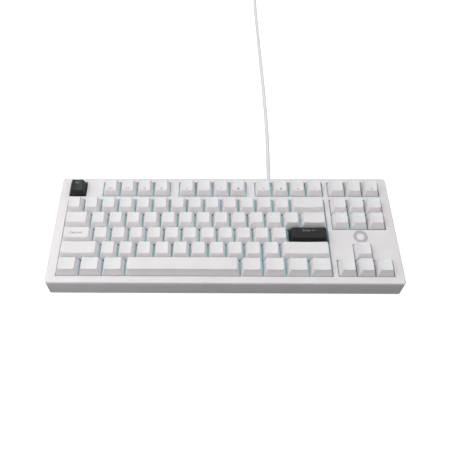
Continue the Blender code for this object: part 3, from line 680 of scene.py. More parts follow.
def make_legends():
    """The legends of a body's keys are one piece for the lit ones and one for the ink."""
    for body, keys in keys_by_body().items():
        lit, ink = bmesh.new(), bmesh.new()
        for key in keys:
            row = KEY_ROWS[key.row]
            if key.legend:
                height = LEGEND_HEIGHT if len(key.legend) <= SHORT_LEGEND else WORD_HEIGHT
                weight = LEGEND_WEIGHT
                if body in ARROW_KEYS:
                    height, weight = ARROW_HEIGHT, ARROW_WEIGHT
                add_legend(lit, key, key.legend, height, row.back - LEGEND_INSET, weight)
            if key.note:
                forward = 0 if key.row == "home" else row.front + NOTE_INSET
                add_legend(ink, key, key.note, NOTE_HEIGHT, forward, NOTE_WEIGHT)
        glow = LEGEND_DIM if body in DARK_KEYS else LEGEND_GLOW
        for bm, name, material in ((lit, f"legend_{body}", glow),
                                   (ink, f"print_{body}", LEGEND_INK)):
            if bm.verts:
                mesh = bpy.data.meshes.new(name)
                bm.to_mesh(mesh)
                add_piece(name, mesh, cap_slot(body), body, (), TYPING, material)
            bm.free()


# ---------------------------------------------------------------- bezel
# Openings in the bezel: left and right column, lower and upper edge in pitches from mid field.
BEZEL_OPENINGS = (
    (0, 1, 2.125, 3.125),
    (2, 6, 2.125, 3.125),
    (6.5, 10.5, 2.125, 3.125),
    (11, 15, 2.125, 3.125),
    (15.3, 18.3, 2.125, 3.125),
    (0, 15, FIELD_FRONT, 1.875),
    (15.3, 18.3, -0.16, 1.875),
)
ARROW_COLUMNS = (15.3, 16.3, 17.3, 18.3)
ARROW_ROWS = (FIELD_FRONT, FIELD_FRONT + 1, FIELD_FRONT + 2)
BADGE_PLAY = 0.25 * MM
BADGE_RECESS = 0.9 * MM              # depth of the bezel's recess for the badge
EDGE_REACH = 1.05                    # points up to this share of the edge's size are moved


def arrow_opening():
    """The inverted T round the arrow keys, as a closed outline."""
    left, inner_left, inner_right, right = (column_x(column) for column in ARROW_COLUMNS)
    low, step, high = (row * PITCH for row in ARROW_ROWS)
    m = OPENING_MARGIN
    return [(left - m, low - m), (right + m, low - m), (right + m, step + m),
            (inner_right + m, step + m), (inner_right + m, high + m),
            (inner_left - m, high + m), (inner_left - m, step + m), (left - m, step + m)]


def opening_outline(left, right, lower, upper):
    m = OPENING_MARGIN
    x0, x1 = column_x(left) - (m if left else LEFT_MARGIN), column_x(right) + m
    y0, y1 = lower * PITCH - m, upper * PITCH + m
    return [(x0, y0), (x1, y0), (x1, y1), (x0, y1)]


def grow_outline(points, distance):
    """Move each side of an anticlockwise outline of level and upright sides outwards."""
    grown = []
    count = len(points)
    for index, (x, y) in enumerate(points):
        shift = [0, 0]
        for start, end in ((points[index - 1], (x, y)), ((x, y), points[(index + 1) % count])):
            if abs(end[0] - start[0]) > abs(end[1] - start[1]):
                shift[1] = -math.copysign(distance, end[0] - start[0])
            else:
                shift[0] = math.copysign(distance, end[1] - start[1])
        grown.append((x + shift[0], y + shift[1]))
    return grown


def inset_in_case(x, y):
    """How far a point lies inside the case's rounded outline, and the way out of it."""
    middle = (CASE_FRONT + CASE_BACK) / 2
    reach_x = abs(x) - (CASE_WIDTH / 2 - CASE_CORNER)
    reach_y = abs(y - middle) - ((CASE_BACK - CASE_FRONT) / 2 - CASE_CORNER)
    side = Vector((math.copysign(1, x), math.copysign(1, y - middle)))
    if reach_x > 0 and reach_y > 0:
        outward = Vector((reach_x, reach_y))
        distance = outward.length
        outward.normalize()
    elif reach_x > reach_y:
        outward, distance = Vector((1, 0)), reach_x
    else:
        outward, distance = Vector((0, 1)), reach_y
    return CASE_CORNER - distance, Vector((outward.x * side.x, outward.y * side.y))


def bezel_slab():
    """The bezel's outline and openings as a slab with small rounded edges, about z = 0."""
    curve = bpy.data.curves.new("bezel", "CURVE")
    curve.dimensions = "2D"
    curve.fill_mode = "BOTH"
    curve.extrude = (BEZEL_TOP - RIM) / 2 - OPENING_EDGE
    curve.bevel_depth = OPENING_EDGE
    curve.bevel_resolution = 3
    e = OPENING_EDGE
    outlines = [rounded_rectangle((-CASE_WIDTH / 2 + e, CASE_WIDTH / 2 - e),
                                  (CASE_FRONT + e, CASE_BACK - e), CASE_CORNER - e, corner=12)]
    for opening in BEZEL_OPENINGS:
        outlines.append(grow_outline(opening_outline(*opening), e))
    outlines.append(grow_outline(arrow_opening(), e))
    for outline in outlines:
        spline = curve.splines.new("POLY")
        spline.points.add(len(outline) - 1)
        spline.use_cyclic_u = True
        for point, (x, y) in zip(spline.points, outline):
            point.co = (x, y, 0, 1)
    mesh = evaluated_mesh(bpy.data.objects.new("bezel", curve))
    bpy.data.curves.remove(curve)
    bm = bmesh.new()
    bm.from_mesh(mesh)
    bpy.data.meshes.remove(mesh)
    bmesh.ops.remove_doubles(bm, verts=bm.verts, dist=WELD)
    return bm


def make_bezel():
    """The top case, whose outer edge is rounded more than the edges of its openings."""
    bm = bezel_slab()
    fuller = RIM_EDGE / OPENING_EDGE
    half = (BEZEL_TOP - RIM) / 2
    for vert in bm.verts:
        inset, outward = inset_in_case(vert.co.x, vert.co.y)
        from_top = half - vert.co.z
        if max(inset, from_top) < OPENING_EDGE * EDGE_REACH:
            slide = inset * (fuller - 1)
            vert.co.x -= outward.x * slide
            vert.co.y -= outward.y * slide
            vert.co.z = half - from_top * fuller
        vert.co.z += (BEZEL_TOP + RIM) / 2
    recess = bmesh.new()
    badge = TYPING.inverted() @ box_middle("emblem_badge")
    add_rod(recess, BADGE_RADIUS + BADGE_PLAY, 2 * BADGE_RECESS,
            (badge.x, badge.y, BEZEL_TOP), "Z", 64)
    mesh = carve(mesh_from(bm, "bezel_shell"), [("DIFFERENCE", recess)])
    add_piece("bezel_shell", smooth(mesh, BEZEL_SHARPNESS), "shell_white", CASE_BODY,
              ("top_case",), TYPING)


# ---------------------------------------------------------------- tray
FOOT_BODIES = ("tilt_foot_left", "tilt_foot_right")
FOOT_WIDTH = 26 * MM
FOOT_LENGTH = 20 * MM
FOOT_RADIUS = 2.3 * MM
FOOT_PIN_RADIUS = 1.3 * MM
FOOT_PIN_REACH = 2.0 * MM
FOOT_RECESS_TOP = 7.3 * MM
FOOT_BOSS_WALL = 3.2 * MM
FOOT_PLAY = (0.6 * MM, 2.0 * MM, 1.0 * MM)   # at a foot's sides, in front of it and behind it
PIN_PLAY = 0.3 * MM
PIN_END_PLAY = 0.6 * MM
TRAY_LIP = 0.35 * MM                 # bevel at the parting line
TRAY_MIN_CORNER = 1.5 * MM
FLOOR_EDGE_STEPS = 5
RELIEF_HOLE = (4.0 * MM, 12 * MM, 1.5 * MM)  # radius, length and depth of its middle


def foot_pivots():
    """The hinge point of each fold-out foot, from the record's joints."""
    return {j["child"]: Vector(j["pos_m"]) for j in frame["joints"]
            if j["child"] in FOOT_BODIES}


def tray_ring(inset, level):
    """A ring of the tray: level 1 is at the parting line and 0 on the level underside."""
    outline = rounded_rectangle((-CASE_WIDTH / 2 + inset, CASE_WIDTH / 2 - inset),
                                (CASE_FRONT + inset, CASE_BACK - inset),
                                max(TRAY_MIN_CORNER, CASE_CORNER - inset), corner=10)
    ring = []
    for x, y in outline:
        top = TYPING @ Vector((x, y, RIM - PARTING_GAP))
        height = top.z - FOOT_CLEARANCE
        lean = (1 - level) * height * CASE_DRAFT
        ring.append((top.x - math.copysign(lean, x),
                     top.y - math.copysign(lean, y), FOOT_CLEARANCE + height * level))
    return ring


def raised(ring, height):
    return [(x, y, z + height) for x, y, z in ring]


def level_at(ring, z):
    return [(x, y, z) for x, y, _ in ring]


def box_piece(bm, x_range, y_range, z_range, radius=0):
    """A block with sharp or rounded upright edges, given by its limits on each axis."""
    if radius:
        outline = rounded_rectangle(x_range, y_range, radius)
    else:
        (left, right), (front, back) = x_range, y_range
        outline = ((right, front), (right, back), (left, back), (left, front))
    loft(bm, [[(x, y, z) for x, y in outline] for z in z_range])


ROD_TURNS = {                        # from upright to along an axis
    "X": Matrix.Rotation(math.pi / 2, 4, "Y"),
    "Y": Matrix.Rotation(math.pi / 2, 4, "X"),
    "Z": Matrix.Identity(4),
}


def add_rod(bm, radius, length, centre, axis, segments=24):
    bmesh.ops.create_cone(bm, cap_ends=True, segments=segments, radius1=radius,
                          radius2=radius, depth=length,
                          matrix=Matrix.Translation(centre) @ ROD_TURNS[axis])


def carve(mesh, steps):
    """Apply Boolean steps, each an operation and a helper's bmesh, and return the mesh."""
    target = bpy.data.objects.new("carved", mesh)
    helpers = []
    for operation, bm in steps:
        bmesh.ops.recalc_face_normals(bm, faces=bm.faces)
        data = bpy.data.meshes.new("helper")
        bm.to_mesh(data)
        bm.free()
        helper = bpy.data.objects.new("helper", data)
        bpy.context.scene.collection.objects.link(helper)
        helpers.append(helper)
        modifier = target.modifiers.new("carve", "BOOLEAN")
        modifier.operation = operation
        modifier.object = helper
    result = evaluated_mesh(target)
    for helper in helpers:
        bpy.data.objects.remove(helper, do_unlink=True)
    return result


def foot_blocks(grow_by, z_range):
    """A block round each folded foot, larger than its recess by grow_by on each side."""
    side, before, behind = FOOT_PLAY
    bm = bmesh.new()
    for pivot in foot_pivots().values():
        half = FOOT_WIDTH / 2 + side + grow_by
        box_piece(bm, (pivot.x - half, pivot.x + half),
                  (pivot.y - FOOT_LENGTH - before - grow_by,
                   pivot.y + FOOT_RADIUS + behind + grow_by), z_range)
    return bm


def tray_rings():
    """The tray's rings: rounded floor edge, drafted wall, lip, then down the inside."""
    rings = []
    for step in range(FLOOR_EDGE_STEPS + 1):
        turn = step * math.pi / 2 / FLOOR_EDGE_STEPS
        low = tray_ring(FLOOR_EDGE * (1 - math.sin(turn)), 0)
        rings.append(raised(low, FLOOR_EDGE * (1 - math.cos(turn))))
    rings.append(raised(tray_ring(0, 1), -TRAY_LIP))
    rings.append(tray_ring(TRAY_LIP, 1))
    rings.append(tray_ring(CASE_WALL, 1))
    rings.append(level_at(tray_ring(CASE_WALL + TRAY_LIP, 0), FOOT_CLEARANCE + CASE_FLOOR))
    return rings


def make_tray():
    """The bottom case, with its foot recesses, hinge bores, screw wells and cable hole."""
    bm = bmesh.new()
    loft(bm, tray_rings())
    bores = bmesh.new()
    for pivot in foot_pivots().values():
        add_rod(bores, FOOT_PIN_RADIUS + PIN_PLAY,
                FOOT_WIDTH + 2 * (FOOT_PIN_REACH + PIN_END_PLAY), pivot, "X")
    hole = bmesh.new()
    relief = box_middle("strain_relief")
    radius, length, depth = RELIEF_HOLE
    add_rod(hole, radius, length, (relief.x, TRAY_HIGH.y - depth, relief.z), "Y", 40)
    mesh = carve(mesh_from(bm, "tray_shell"), [
        ("UNION", foot_blocks(FOOT_BOSS_WALL, (FOOT_CLEARANCE + MM,
                                               FOOT_RECESS_TOP + CASE_FLOOR))),
        ("DIFFERENCE", foot_blocks(0, (0, FOOT_RECESS_TOP))),
        ("DIFFERENCE", bores),
        ("DIFFERENCE", screw_wells()),
        ("DIFFERENCE", hole),
    ])
    add_piece("tray_shell", smooth(mesh), "shell_white", CASE_BODY, ("bottom_case",))


# ---------------------------------------------------------------- cable
# The cable lies loose on the desk between the strain relief and the coil (x, y, z).
CORD_ROUTE = (
    (0.0549, 0.0860, 0.0100),
    (0.0552, 0.0930, 0.0098),
    (0.0558, 0.1030, 0.0084),
    (0.0565, 0.1140, 0.0056),
    (0.0573, 0.1280, 0.0030),
    (0.0580, 0.1450, 0.0023),
    (0.0588, 0.1800, 0.0023),
    (0.0592, 0.2300, 0.0023),
    (0.0590, 0.2800, 0.0023),
    (0.0584, 0.3300, 0.0023),
    (0.0578, 0.3800, 0.0023),
    (0.0573, 0.4300, 0.0023),
    (0.0570, 0.4700, 0.0025),
    (0.0570, 0.4900, 0.0039),
    (0.0570, 0.5130, 0.0066),
    (0.0570, 0.5290, 0.0077),
    (0.0570, 0.5388, 0.0078),
)


def smooth_route(route, step):
    """Points about one step apart on a Catmull-Rom curve through the route's points."""
    knots = [Vector(point) for point in route]
    knots = [2 * knots[0] - knots[1], *knots, 2 * knots[-1] - knots[-2]]
    points = []
    for before, start, end, after in zip(knots, knots[1:], knots[2:], knots[3:]):
        count = max(1, round((end - start).length / step))
        for index in range(count):
            t = index / count
            points.append(0.5 * (2 * start + (end - before) * t
                                 + (2 * before - 5 * start + 4 * end - after) * t * t
                                 + (3 * start - before - 3 * end + after) * t ** 3))
    points.append(knots[-2])
    return points


def coil_points():
    """The coil's turns: inwards on the upper layer, then outwards on the lower one."""
    middle = box_middle("cable_coil")
    outermost = COIL_MIDDLE_RADIUS + (COIL_TURNS_ACROSS - 1) / 2 * CORD_DIAMETER
    spirals = COIL_TURNS_ACROSS - 1
    upper, lower = middle.z + CORD_DIAMETER / 2, middle.z - CORD_DIAMETER / 2
    last = 2 * COIL_TURNS_ACROSS + COIL_LAST_TURN
    points = []
    for index in range(1, round(last * COIL_POINTS_PER_TURN) + 1):
        turns = index / COIL_POINTS_PER_TURN
        inward = min(turns, spirals)
        outward = min(max(turns - spirals - 1, 0), spirals)
        radius = outermost + (outward - inward) * CORD_DIAMETER
        sink = min(max(turns - spirals, 0), 1)
        height = upper + (lower - upper) * (3 - 2 * sink) * sink * sink
        angle = turns * 2 * math.pi
        points.append(Vector((middle.x + radius * math.cos(angle),
                              middle.y + radius * math.sin(angle), height)))
    return points


def make_cord():
    """The cable as one tube, from the strain relief by way of the coil into the plug."""
    coil = coil_points()
    grip_high = corners("plug_grip")[1]
    into_grip = Vector((grip_high.x - MM, coil[-1].y, box_middle("plug_grip").z))
    points = smooth_route(CORD_ROUTE, 2 * CORD_DIAMETER) + coil + [into_grip]
    curve = bpy.data.curves.new("usb_cord", "CURVE")
    curve.dimensions = "3D"
    curve.bevel_depth = CORD_DIAMETER / 2
    curve.bevel_resolution = 4
    curve.use_fill_caps = True
    spline = curve.splines.new("POLY")
    spline.points.add(len(points) - 1)
    for point, position in zip(spline.points, points):
        point.co = (*position, 1)
    spline.use_smooth = True
    cord = add_piece("usb_cord", curve, "cord_white", CASE_BODY, ("usb_cable", "cable_coil"))


# ---------------------------------------------------------------- small parts of the case
# The badge is a raised ring round a low white dome: (radius, height) in millimetres.
BADGE_RING = ((4.1, -0.4), (7.0, -0.4), (7.2, -0.15), (7.2, 0.15), (7.05, 0.33), (6.8, 0.4),
              (4.8, 0.4), (4.5, 0.33), (4.35, 0.15), (4.1, 0.05))
BADGE_DOME = ((4.1, -0.4), (4.1, 0.05), (3.6, 0.18), (2.8, 0.3), (1.8, 0.38), (0.6, 0.42))
RELIEF_WALL = 3.2 * MM               # from the case's outer face to the flange inside it
RELIEF_RIBS = 5
PAD_EDGE = 0.35 * MM
PAD_CORNER = 3.1 * MM
# Where the screws are, as shares of the tray's size from its middle.
SCREW_SPOTS = ((-0.46, -0.30), (0, -0.38), (0.46, -0.30), (-0.46, 0.26), (0, 0.38), (0.46, 0.26))
SCREW_HEAD = ((2.5, 0.0), (2.7, 0.2), (2.7, 1.0), (0.4, 1.0))
SCREW_SUNK = 0.35 * MM
SCREW_SLOT = (1.7 * MM, 0.28 * MM)   # half its length and half its width
SLOT_RANGE = (-0.5 * MM, 0.55 * MM)  # the slot's height, from below the head into it
WELL_RADIUS = 3.2 * MM
WELL_DEPTH = 1.3 * MM
FOOT_TIP = 5.5 * MM                  # length of the feet's rubber tips
TIP_CORNER = 0.9 * MM
HINGE_ROUNDNESS = 0.98
BAR_EDGE = 0.4 * MM
ARM_SLOT_PITCH = 7.4 * MM
ARM_SLOT_HALF_WIDTH = 2.6 * MM
ARM_SLOT_RANGE = (-12 * MM, -4.5 * MM)
ARM_SLOT_CORNER = 1.0 * MM
ARM_SLOT_FLOOR = -1.1 * MM
GROOVE_PITCH = 4.4 * MM
GROOVE_SIZE = 0.6 * MM               # half its width, and its depth
GROOVES = 5


def turned_mesh(name, profile, segments=48):
    """A solid turned about Z from (radius, height) points."""
    bm = bmesh.new()
    loft(bm, [ring_of(radius, height, segments) for radius, height in profile])
    return mesh_from(bm, name)


def profile_mesh(name, profile, segments=48):
    """A solid turned about Z from (radius, height) points in millimetres."""
    return turned_mesh(name, [(radius * MM, height * MM) for radius, height in profile],
                       segments)


def screw_places():
    size = TRAY_HIGH - TRAY_LOW
    middle = (TRAY_LOW + TRAY_HIGH) / 2
    return [Vector((middle.x + x * size.x, middle.y + y * size.y, FOOT_CLEARANCE))
            for x, y in SCREW_SPOTS]


def screw_wells():
    bm = bmesh.new()
    for spot in screw_places():
        add_rod(bm, WELL_RADIUS, 2 * WELL_DEPTH, spot, "Z", 32)
    return bm


def make_screws():
    """Cross-head screws, sunk in their wells in the tray's floor."""
    for number, spot in enumerate(screw_places(), 1):
        slots = []
        for half_x, half_y in (SCREW_SLOT, reversed(SCREW_SLOT)):
            slot = bmesh.new()
            box_piece(slot, (-half_x, half_x), (-half_y, half_y), SLOT_RANGE)
            slots.append(("DIFFERENCE", slot))
        head = smooth(carve(profile_mesh("screw", SCREW_HEAD, 32), slots))
        place = Matrix.Translation(spot + Vector((0, 0, SCREW_SUNK)))
        add_piece(f"screw_{number}", head, "bright_steel", CASE_BODY, matrix=place)


def make_badge():
    place = Matrix.Translation(box_middle("emblem_badge")) @ TYPING.to_3x3().to_4x4()
    for name, profile, slot in (("badge_ring", BADGE_RING, "badge_grey"),
                                ("badge_dome", BADGE_DOME, "shell_white")):
        add_piece(name, profile_mesh(name, profile), slot, CASE_BODY, ("emblem_badge",), place)


def make_pads():
    """Rubber pads under the case's corners, with a bevelled edge."""
    for end in ("front", "back"):
        for side in ("left", "right"):
            node = f"rubber_pad_{end}_{side}"
            low, high = corners(node)
            bm = bmesh.new()
            stations = ((PAD_EDGE, low.z), (0, low.z + PAD_EDGE), (0, high.z))
            loft(bm, box_rings(low, high, "xyz", PAD_CORNER, stations, along_x=6, corner=8))
            add_piece(f"pad_{end}_{side}", mesh_from(bm, node), "rubber_grey", CASE_BODY,
                      (node,))


def foot_bar(name, start, end, radius):
    """A bar as wide as a foot, with its side view rounded and its ends bevelled."""
    half = FOOT_WIDTH / 2
    stations = ((BAR_EDGE, -half), (0, BAR_EDGE - half), (0, half - BAR_EDGE),
                (BAR_EDGE, half))
    bm = bmesh.new()
    loft(bm, box_rings((-half, start, -FOOT_RADIUS), (half, end, FOOT_RADIUS), "yzx", radius,
                       stations, corner=6))
    return mesh_from(bm, name)


def foot_arm():
    """A foot's arm, with lightening slots in it and a pin through its round end."""
    slots = bmesh.new()
    for index in (-1, 0, 1):
        x = index * ARM_SLOT_PITCH
        box_piece(slots, (x - ARM_SLOT_HALF_WIDTH, x + ARM_SLOT_HALF_WIDTH), ARM_SLOT_RANGE,
                  (-FOOT_RADIUS - MM, ARM_SLOT_FLOOR), ARM_SLOT_CORNER)
    pins = bmesh.new()
    add_rod(pins, FOOT_PIN_RADIUS, FOOT_WIDTH + 2 * FOOT_PIN_REACH, (0, 0, 0), "X", 32)
    bar = foot_bar("arm", FOOT_TIP - FOOT_LENGTH, FOOT_RADIUS, FOOT_RADIUS * HINGE_ROUNDNESS)
    return smooth(carve(bar, [("DIFFERENCE", slots), ("UNION", pins)]))


def foot_tip():
    """A foot's rubber tip, with grooves across its end."""
    grooves = bmesh.new()
    for index in range(GROOVES):
        x = (index - (GROOVES - 1) / 2) * GROOVE_PITCH
        box_piece(grooves, (x - GROOVE_SIZE, x + GROOVE_SIZE),
                  (-FOOT_LENGTH - MM, GROOVE_SIZE - FOOT_LENGTH),
                  (-FOOT_RADIUS - MM, FOOT_RADIUS + MM))
    bar = foot_bar("tip", -FOOT_LENGTH, FOOT_TIP - FOOT_LENGTH, TIP_CORNER)
    return smooth(carve(bar, [("DIFFERENCE", grooves)]))


def make_feet():
    for body, pivot in foot_pivots().items():
        place = Matrix.Translation(pivot)
        add_piece(f"{body}_arm", foot_arm(), "shell_white", body, (body,), place)
        add_piece(f"{body}_tip", foot_tip(), "rubber_grey", body, (body,), place)


# ---------------------------------------------------------------- small parts of the cable
# The boot's profile is made of (radius, distance from the case) points: its tip, then its
# ribs, then its collar and the flange inside the case.
FLANGE_THICKNESS = 1.5 * MM
BOOT_TIP = ((2.4, 0.0), (2.7, 0.0), (2.95, -0.35))
BOOT_COLLAR = ((4.3, 3.0), (4.9, 2.7), (5.2, 2.3), (5.2, 0.6), (3.7, 0.6))
BOOT_RADIUS = (3.0 * MM, 4.15 * MM)  # over the ribs, at the tip and at the case
RIBS_START = 1.0 * MM                # behind the tip
RIBS_LENGTH_LESS = 6.2 * MM          # the part of the boot that has no ribs
RIB_GROOVE = 0.75 * MM
RIB_LIP = 0.1 * MM
RIB_STEPS = (0.1, 0.22, 0.48, 0.6)   # rib's end, groove's ends, next rib; shares of a pitch
SHANK_RADIUS = 3.7 * MM
FLANGE_RADII = (5.0 * MM, 0.5 * MM)

STRAP_THICKNESS = 0.8 * MM
STRAP_CORNER = 2.6 * MM
STRAP_EDGE = (0.15 * MM, 0.2 * MM)   # bevel of the strap's edges, into it and along it
STRAP_INNER_EDGE = 0.1 * MM
FLAP_RANGE = (-6 * MM, 5 * MM)       # the lapped end, from the strap's middle
FLAP_INSET = 0.3 * MM
FLAP_CORNER = 1.6 * MM
FLAP_HEIGHT = (-0.1 * MM, 0.7 * MM)

# The plug's grip in sections: (distance from the cable's end, half width, roundness), where
# FULL is the grip's own half width and SUNK is that less GRIP_RIB_DEPTH.
FULL, SUNK = None, 0
GRIP_NECK = ((0, 3.2, 1.0), (0.4, 3.6, 1.0), (4.0, 4.8, 0.9))
GRIP_HEAD = ((14.2, FULL, 0.5), (23.4, FULL, 0.5), (24.0, SUNK, 0.5))
GRIP_RIB = ((0, FULL), (1.1, FULL), (1.3, SUNK), (2.0, SUNK))
GRIP_RIBS = 4
GRIP_RIBS_START = 5.2
GRIP_RIB_PITCH = 2.2
GRIP_RIB_ROUNDNESS = 0.55
GRIP_RIB_DEPTH = 0.6 * MM
GRIP_FULLNESS = 0.98                 # keeps the corner radius just under the half height
RIB_SHARPNESS = math.radians(25)

SLEEVE_WALL = 0.35 * MM
SLEEVE_EDGE = 0.1 * MM
SLEEVE_CORNER = 0.7 * MM
WINDOW_OFFSET = 2.6 * MM             # the sleeve's two latch windows, from its middle
WINDOW_RANGE = (-1.0 * MM, 1.2 * MM)
TONGUE_INSET = 0.7 * MM
TONGUE_ENDS = (0.6 * MM, 0.8 * MM)
TONGUE_CORNER = 0.25 * MM
TONGUE_GAPS = (0.05 * MM, 0.1 * MM)  # above the sleeve's wall and below its middle
CONTACTS = 4
CONTACT_PITCH = 2.2 * MM
CONTACT_HALF_WIDTH = 0.5 * MM
CONTACT_ENDS = (1.2 * MM, 1.5 * MM)
CONTACT_CORNER = 0.2 * MM
CONTACT_RANGE = (-0.15 * MM, 0.02 * MM)


def make_strain_relief():
    """A tapered boot with ribs cut round it, a collar, and a flange inside the case."""
    tip = RELIEF_HIGH.y - RELIEF_LOW.y - RELIEF_WALL - FLANGE_THICKNESS
    thin, thick = BOOT_RADIUS
    profile = [(radius * MM, tip + height * MM) for radius, height in BOOT_TIP]
    rib = (tip - RIBS_LENGTH_LESS) / RELIEF_RIBS
    for index in range(RELIEF_RIBS):
        near = tip - RIBS_START - index * rib
        radius = thin + (thick - thin) * (tip - near) / tip
        groove = radius - RIB_GROOVE
        radii = (radius, groove, groove, radius + RIB_LIP)
        profile += [(reach, near - share * rib) for reach, share in zip(radii, RIB_STEPS)]
    profile += [(radius * MM, height * MM) for radius, height in BOOT_COLLAR]
    flange, core = FLANGE_RADII
    far_side = -RELIEF_WALL - FLANGE_THICKNESS
    profile += [(SHANK_RADIUS, -RELIEF_WALL), (flange, -RELIEF_WALL), (flange, far_side),
                (core, far_side)]
    middle = box_middle("strain_relief")
    place = Matrix.Translation((middle.x, RELIEF_HIGH.y - tip, middle.z))
    add_piece("cable_boot", turned_mesh("cable_boot", profile), "cord_white", CASE_BODY,
              ("strain_relief",), place @ Matrix.Rotation(-math.pi / 2, 4, "X"))


def make_tie():
    """A woven strap round the coil's turns, with its end lapped over on top."""
    low, high = corners("cable_tie")
    into, along = STRAP_EDGE
    inner = STRAP_THICKNESS
    bevel = inner - STRAP_INNER_EDGE
    stations = ((into, low.y), (0, low.y + along), (0, high.y - along), (into, high.y),
                (bevel, high.y), (inner, high.y - along), (inner, low.y + along),
                (bevel, low.y))
    rings = box_rings(low, high, "xzy", STRAP_CORNER, stations, along_x=8, along_y=3, corner=6)
    bm = bmesh.new()
    loft(bm, rings + rings[:1], False, False)
    bmesh.ops.remove_doubles(bm, verts=bm.verts, dist=WELD)
    middle = (low.x + high.x) / 2
    flap = rounded_rectangle([middle + reach for reach in FLAP_RANGE],
                             (low.y + FLAP_INSET, high.y - FLAP_INSET), FLAP_CORNER, along_x=6)
    loft(bm, [[(x, y, high.z + z) for x, y in flap] for z in FLAP_HEIGHT])
    add_piece("tie_strap", mesh_from(bm, "tie_strap"), "strap_grey", CASE_BODY, ("cable_tie",))


def make_grip():
    """The plug's moulded grip, with finger ribs between its neck and its head."""
    low, high = corners("plug_grip")
    middle, half = (low + high) / 2, (high - low) / 2
    stations = list(GRIP_NECK)
    for index in range(GRIP_RIBS):
        start = GRIP_RIBS_START + index * GRIP_RIB_PITCH
        stations += [(start + back, reach, GRIP_RIB_ROUNDNESS) for back, reach in GRIP_RIB]
    stations += GRIP_HEAD
    bm = bmesh.new()
    rings = []
    for back, reach, roundness in stations:
        sunk = 0 if reach is FULL else GRIP_RIB_DEPTH
        wide = reach * MM if reach else half.y - sunk
        tall = min(wide, half.z - sunk)
        outline = rounded_rectangle((-wide, wide), (-tall, tall),
                                    tall * roundness * GRIP_FULLNESS, corner=6)
        rings.append([(high.x - back * MM, middle.y + y, middle.z + z) for y, z in outline])
    loft(bm, rings)
    add_piece("plug_body", mesh_from(bm, "plug_body", RIB_SHARPNESS), "cord_white", CASE_BODY,
              ("plug_grip",))


def make_sleeve():
    """The plug's steel shell, a thin-walled box with two windows above and two below."""
    low, high = corners("plug_shell")
    stations = ((0, high.x), (0, low.x + SLEEVE_EDGE), (SLEEVE_EDGE, low.x),
                (SLEEVE_WALL, low.x), (SLEEVE_WALL, high.x - MM))
    bm = bmesh.new()
    loft(bm, box_rings(low, high, "yzx", SLEEVE_CORNER, stations, corner=4))
    windows = bmesh.new()
    centre = (low + high) / 2
    for y in (centre.y - WINDOW_OFFSET, centre.y + WINDOW_OFFSET):
        box_piece(windows, [centre.x + reach for reach in WINDOW_RANGE], (y - MM, y + MM),
                  (low.z - MM, high.z + MM))
    shell = smooth(carve(mesh_from(bm, "plug_sleeve"), [("DIFFERENCE", windows)]))
    add_piece("plug_sleeve", shell, "bright_steel", CASE_BODY, ("plug_shell",))


def make_tongue():
    """The plastic tongue inside the plug's shell, and its gold contacts."""
    low, high = corners("plug_shell")
    centre = (low + high) / 2
    bm = bmesh.new()
    box_piece(bm, (low.x + TONGUE_ENDS[0], high.x - TONGUE_ENDS[1]),
              (low.y + TONGUE_INSET, high.y - TONGUE_INSET),
              (low.z + SLEEVE_WALL + TONGUE_GAPS[0], centre.z - TONGUE_GAPS[1]), TONGUE_CORNER)
    add_piece("plug_tongue", mesh_from(bm, "plug_tongue"), "cap_black", CASE_BODY)
    bm = bmesh.new()
    for index in range(CONTACTS):
        y = centre.y + (index - (CONTACTS - 1) / 2) * CONTACT_PITCH
        box_piece(bm, (low.x + CONTACT_ENDS[0], high.x - CONTACT_ENDS[1]),
                  (y - CONTACT_HALF_WIDTH, y + CONTACT_HALF_WIDTH),
                  [centre.z + reach for reach in CONTACT_RANGE], CONTACT_CORNER)
    add_piece("plug_contacts", mesh_from(bm, "plug_contacts"), "bright_steel", CASE_BODY,
              material=CONTACT_GOLD)


# ---------------------------------------------------------------- carried-over CAD nodes
def finish_cad_nodes():
    """Give the CAD nodes that stay in view their procedural materials."""
    slots = {part["node"]: part["material_slot"] for part in frame["record"]["subparts"]}
    for name, node in frame["nodes"].items():
        node.data.materials.clear()
        node.data.materials.append(FINISH[slots[name]])


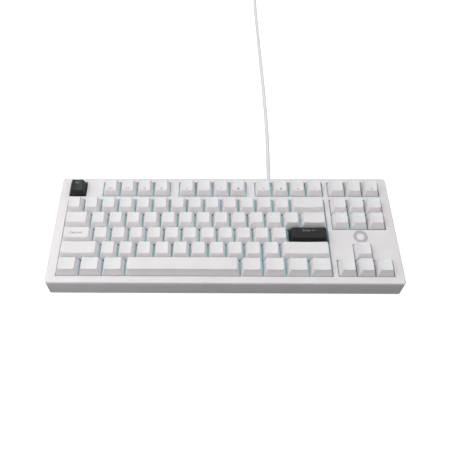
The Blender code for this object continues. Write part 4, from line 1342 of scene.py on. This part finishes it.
# ---------------------------------------------------------------- stage
# The table is a white panel lit from below. Its light goes past the keyboard, which is lit
# from above only, and its far edge curves up to stand behind low views.
TABLE_PROFILE = ((0.01, 0), (5.0, 0), (5.8, 0.15), (6.5, 0.7), (6.8, 1.6), (6.9, 4.0))
TABLE_GLOW = 0.8
SKY_LIGHT = 1.01
LOW_SKY_LIGHT = 0.075
LAMPS = {                            # place, size in metres and power in watts
    "key": ((-1.0, 0.3, 1.3), 1.0, 6.6),
    "fill": ((-0.48, -0.5, 0.26), 0.4, 0.75),
}


def make_table():
    """The table, which the camera sees but which neither lights nor shades the keyboard."""
    bm = bmesh.new()
    loft(bm, [ring_of(radius, height, 64) for radius, height in TABLE_PROFILE],
         close_end=False)
    table = bpy.data.objects.new("table", mesh_from(bm, "table", WIDE_SHARPNESS))
    material, tree, shader = node_material("table")
    set_inputs(tree, shader, {
        "Base Color": (0.9, 0.9, 0.9, 1),
        "Roughness": 0.9,
        "Specular IOR Level": 0.1,
        "Emission Color": (1, 1, 1, 1),
        "Emission Strength": TABLE_GLOW})
    table.data.materials.append(material)
    table.visible_diffuse = False
    table.visible_glossy = False
    table.visible_shadow = False
    bpy.context.scene.collection.objects.link(table)


def area_light(name, location, size, power):
    """A square lamp that shines at the middle of the keyboard."""
    light = bpy.data.lights.new(name, "AREA")
    light.shape = "SQUARE"
    light.size = size
    light.energy = power
    lamp = bpy.data.objects.new(name, light)
    lamp.location = location
    lamp.rotation_euler = (-Vector(location)).to_track_quat("-Z", "Y").to_euler()
    bpy.context.scene.collection.objects.link(lamp)


def make_light():
    """A sky that is brightest overhead, with soft lamps high on the left and low in front."""
    world = bpy.data.worlds.new("studio")
    world.use_nodes = True
    tree = world.node_tree
    direction = add_node(tree, "ShaderNodeTexCoord").outputs["Generated"]
    height = add_node(tree, "ShaderNodeSeparateXYZ", {"Vector": direction}).outputs["Z"]
    tree.links.new(spread(tree, height, LOW_SKY_LIGHT, SKY_LIGHT),
                   tree.nodes["Background"].inputs["Strength"])
    tree.nodes["Background"].inputs["Color"].default_value = (1, 1, 1, 1)
    bpy.context.scene.world = world
    for name, lamp in LAMPS.items():
        area_light(name, *lamp)
    bpy.context.scene.view_settings.view_transform = "Standard"


place_camera()
make_strain_relief()
make_tie()
make_grip()
make_sleeve()
make_tongue()
make_cord()
finish_cad_nodes()
make_caps()
make_legends()
make_bezel()
make_tray()
make_screws()
make_badge()
make_pads()
make_feet()
make_table()
make_light()
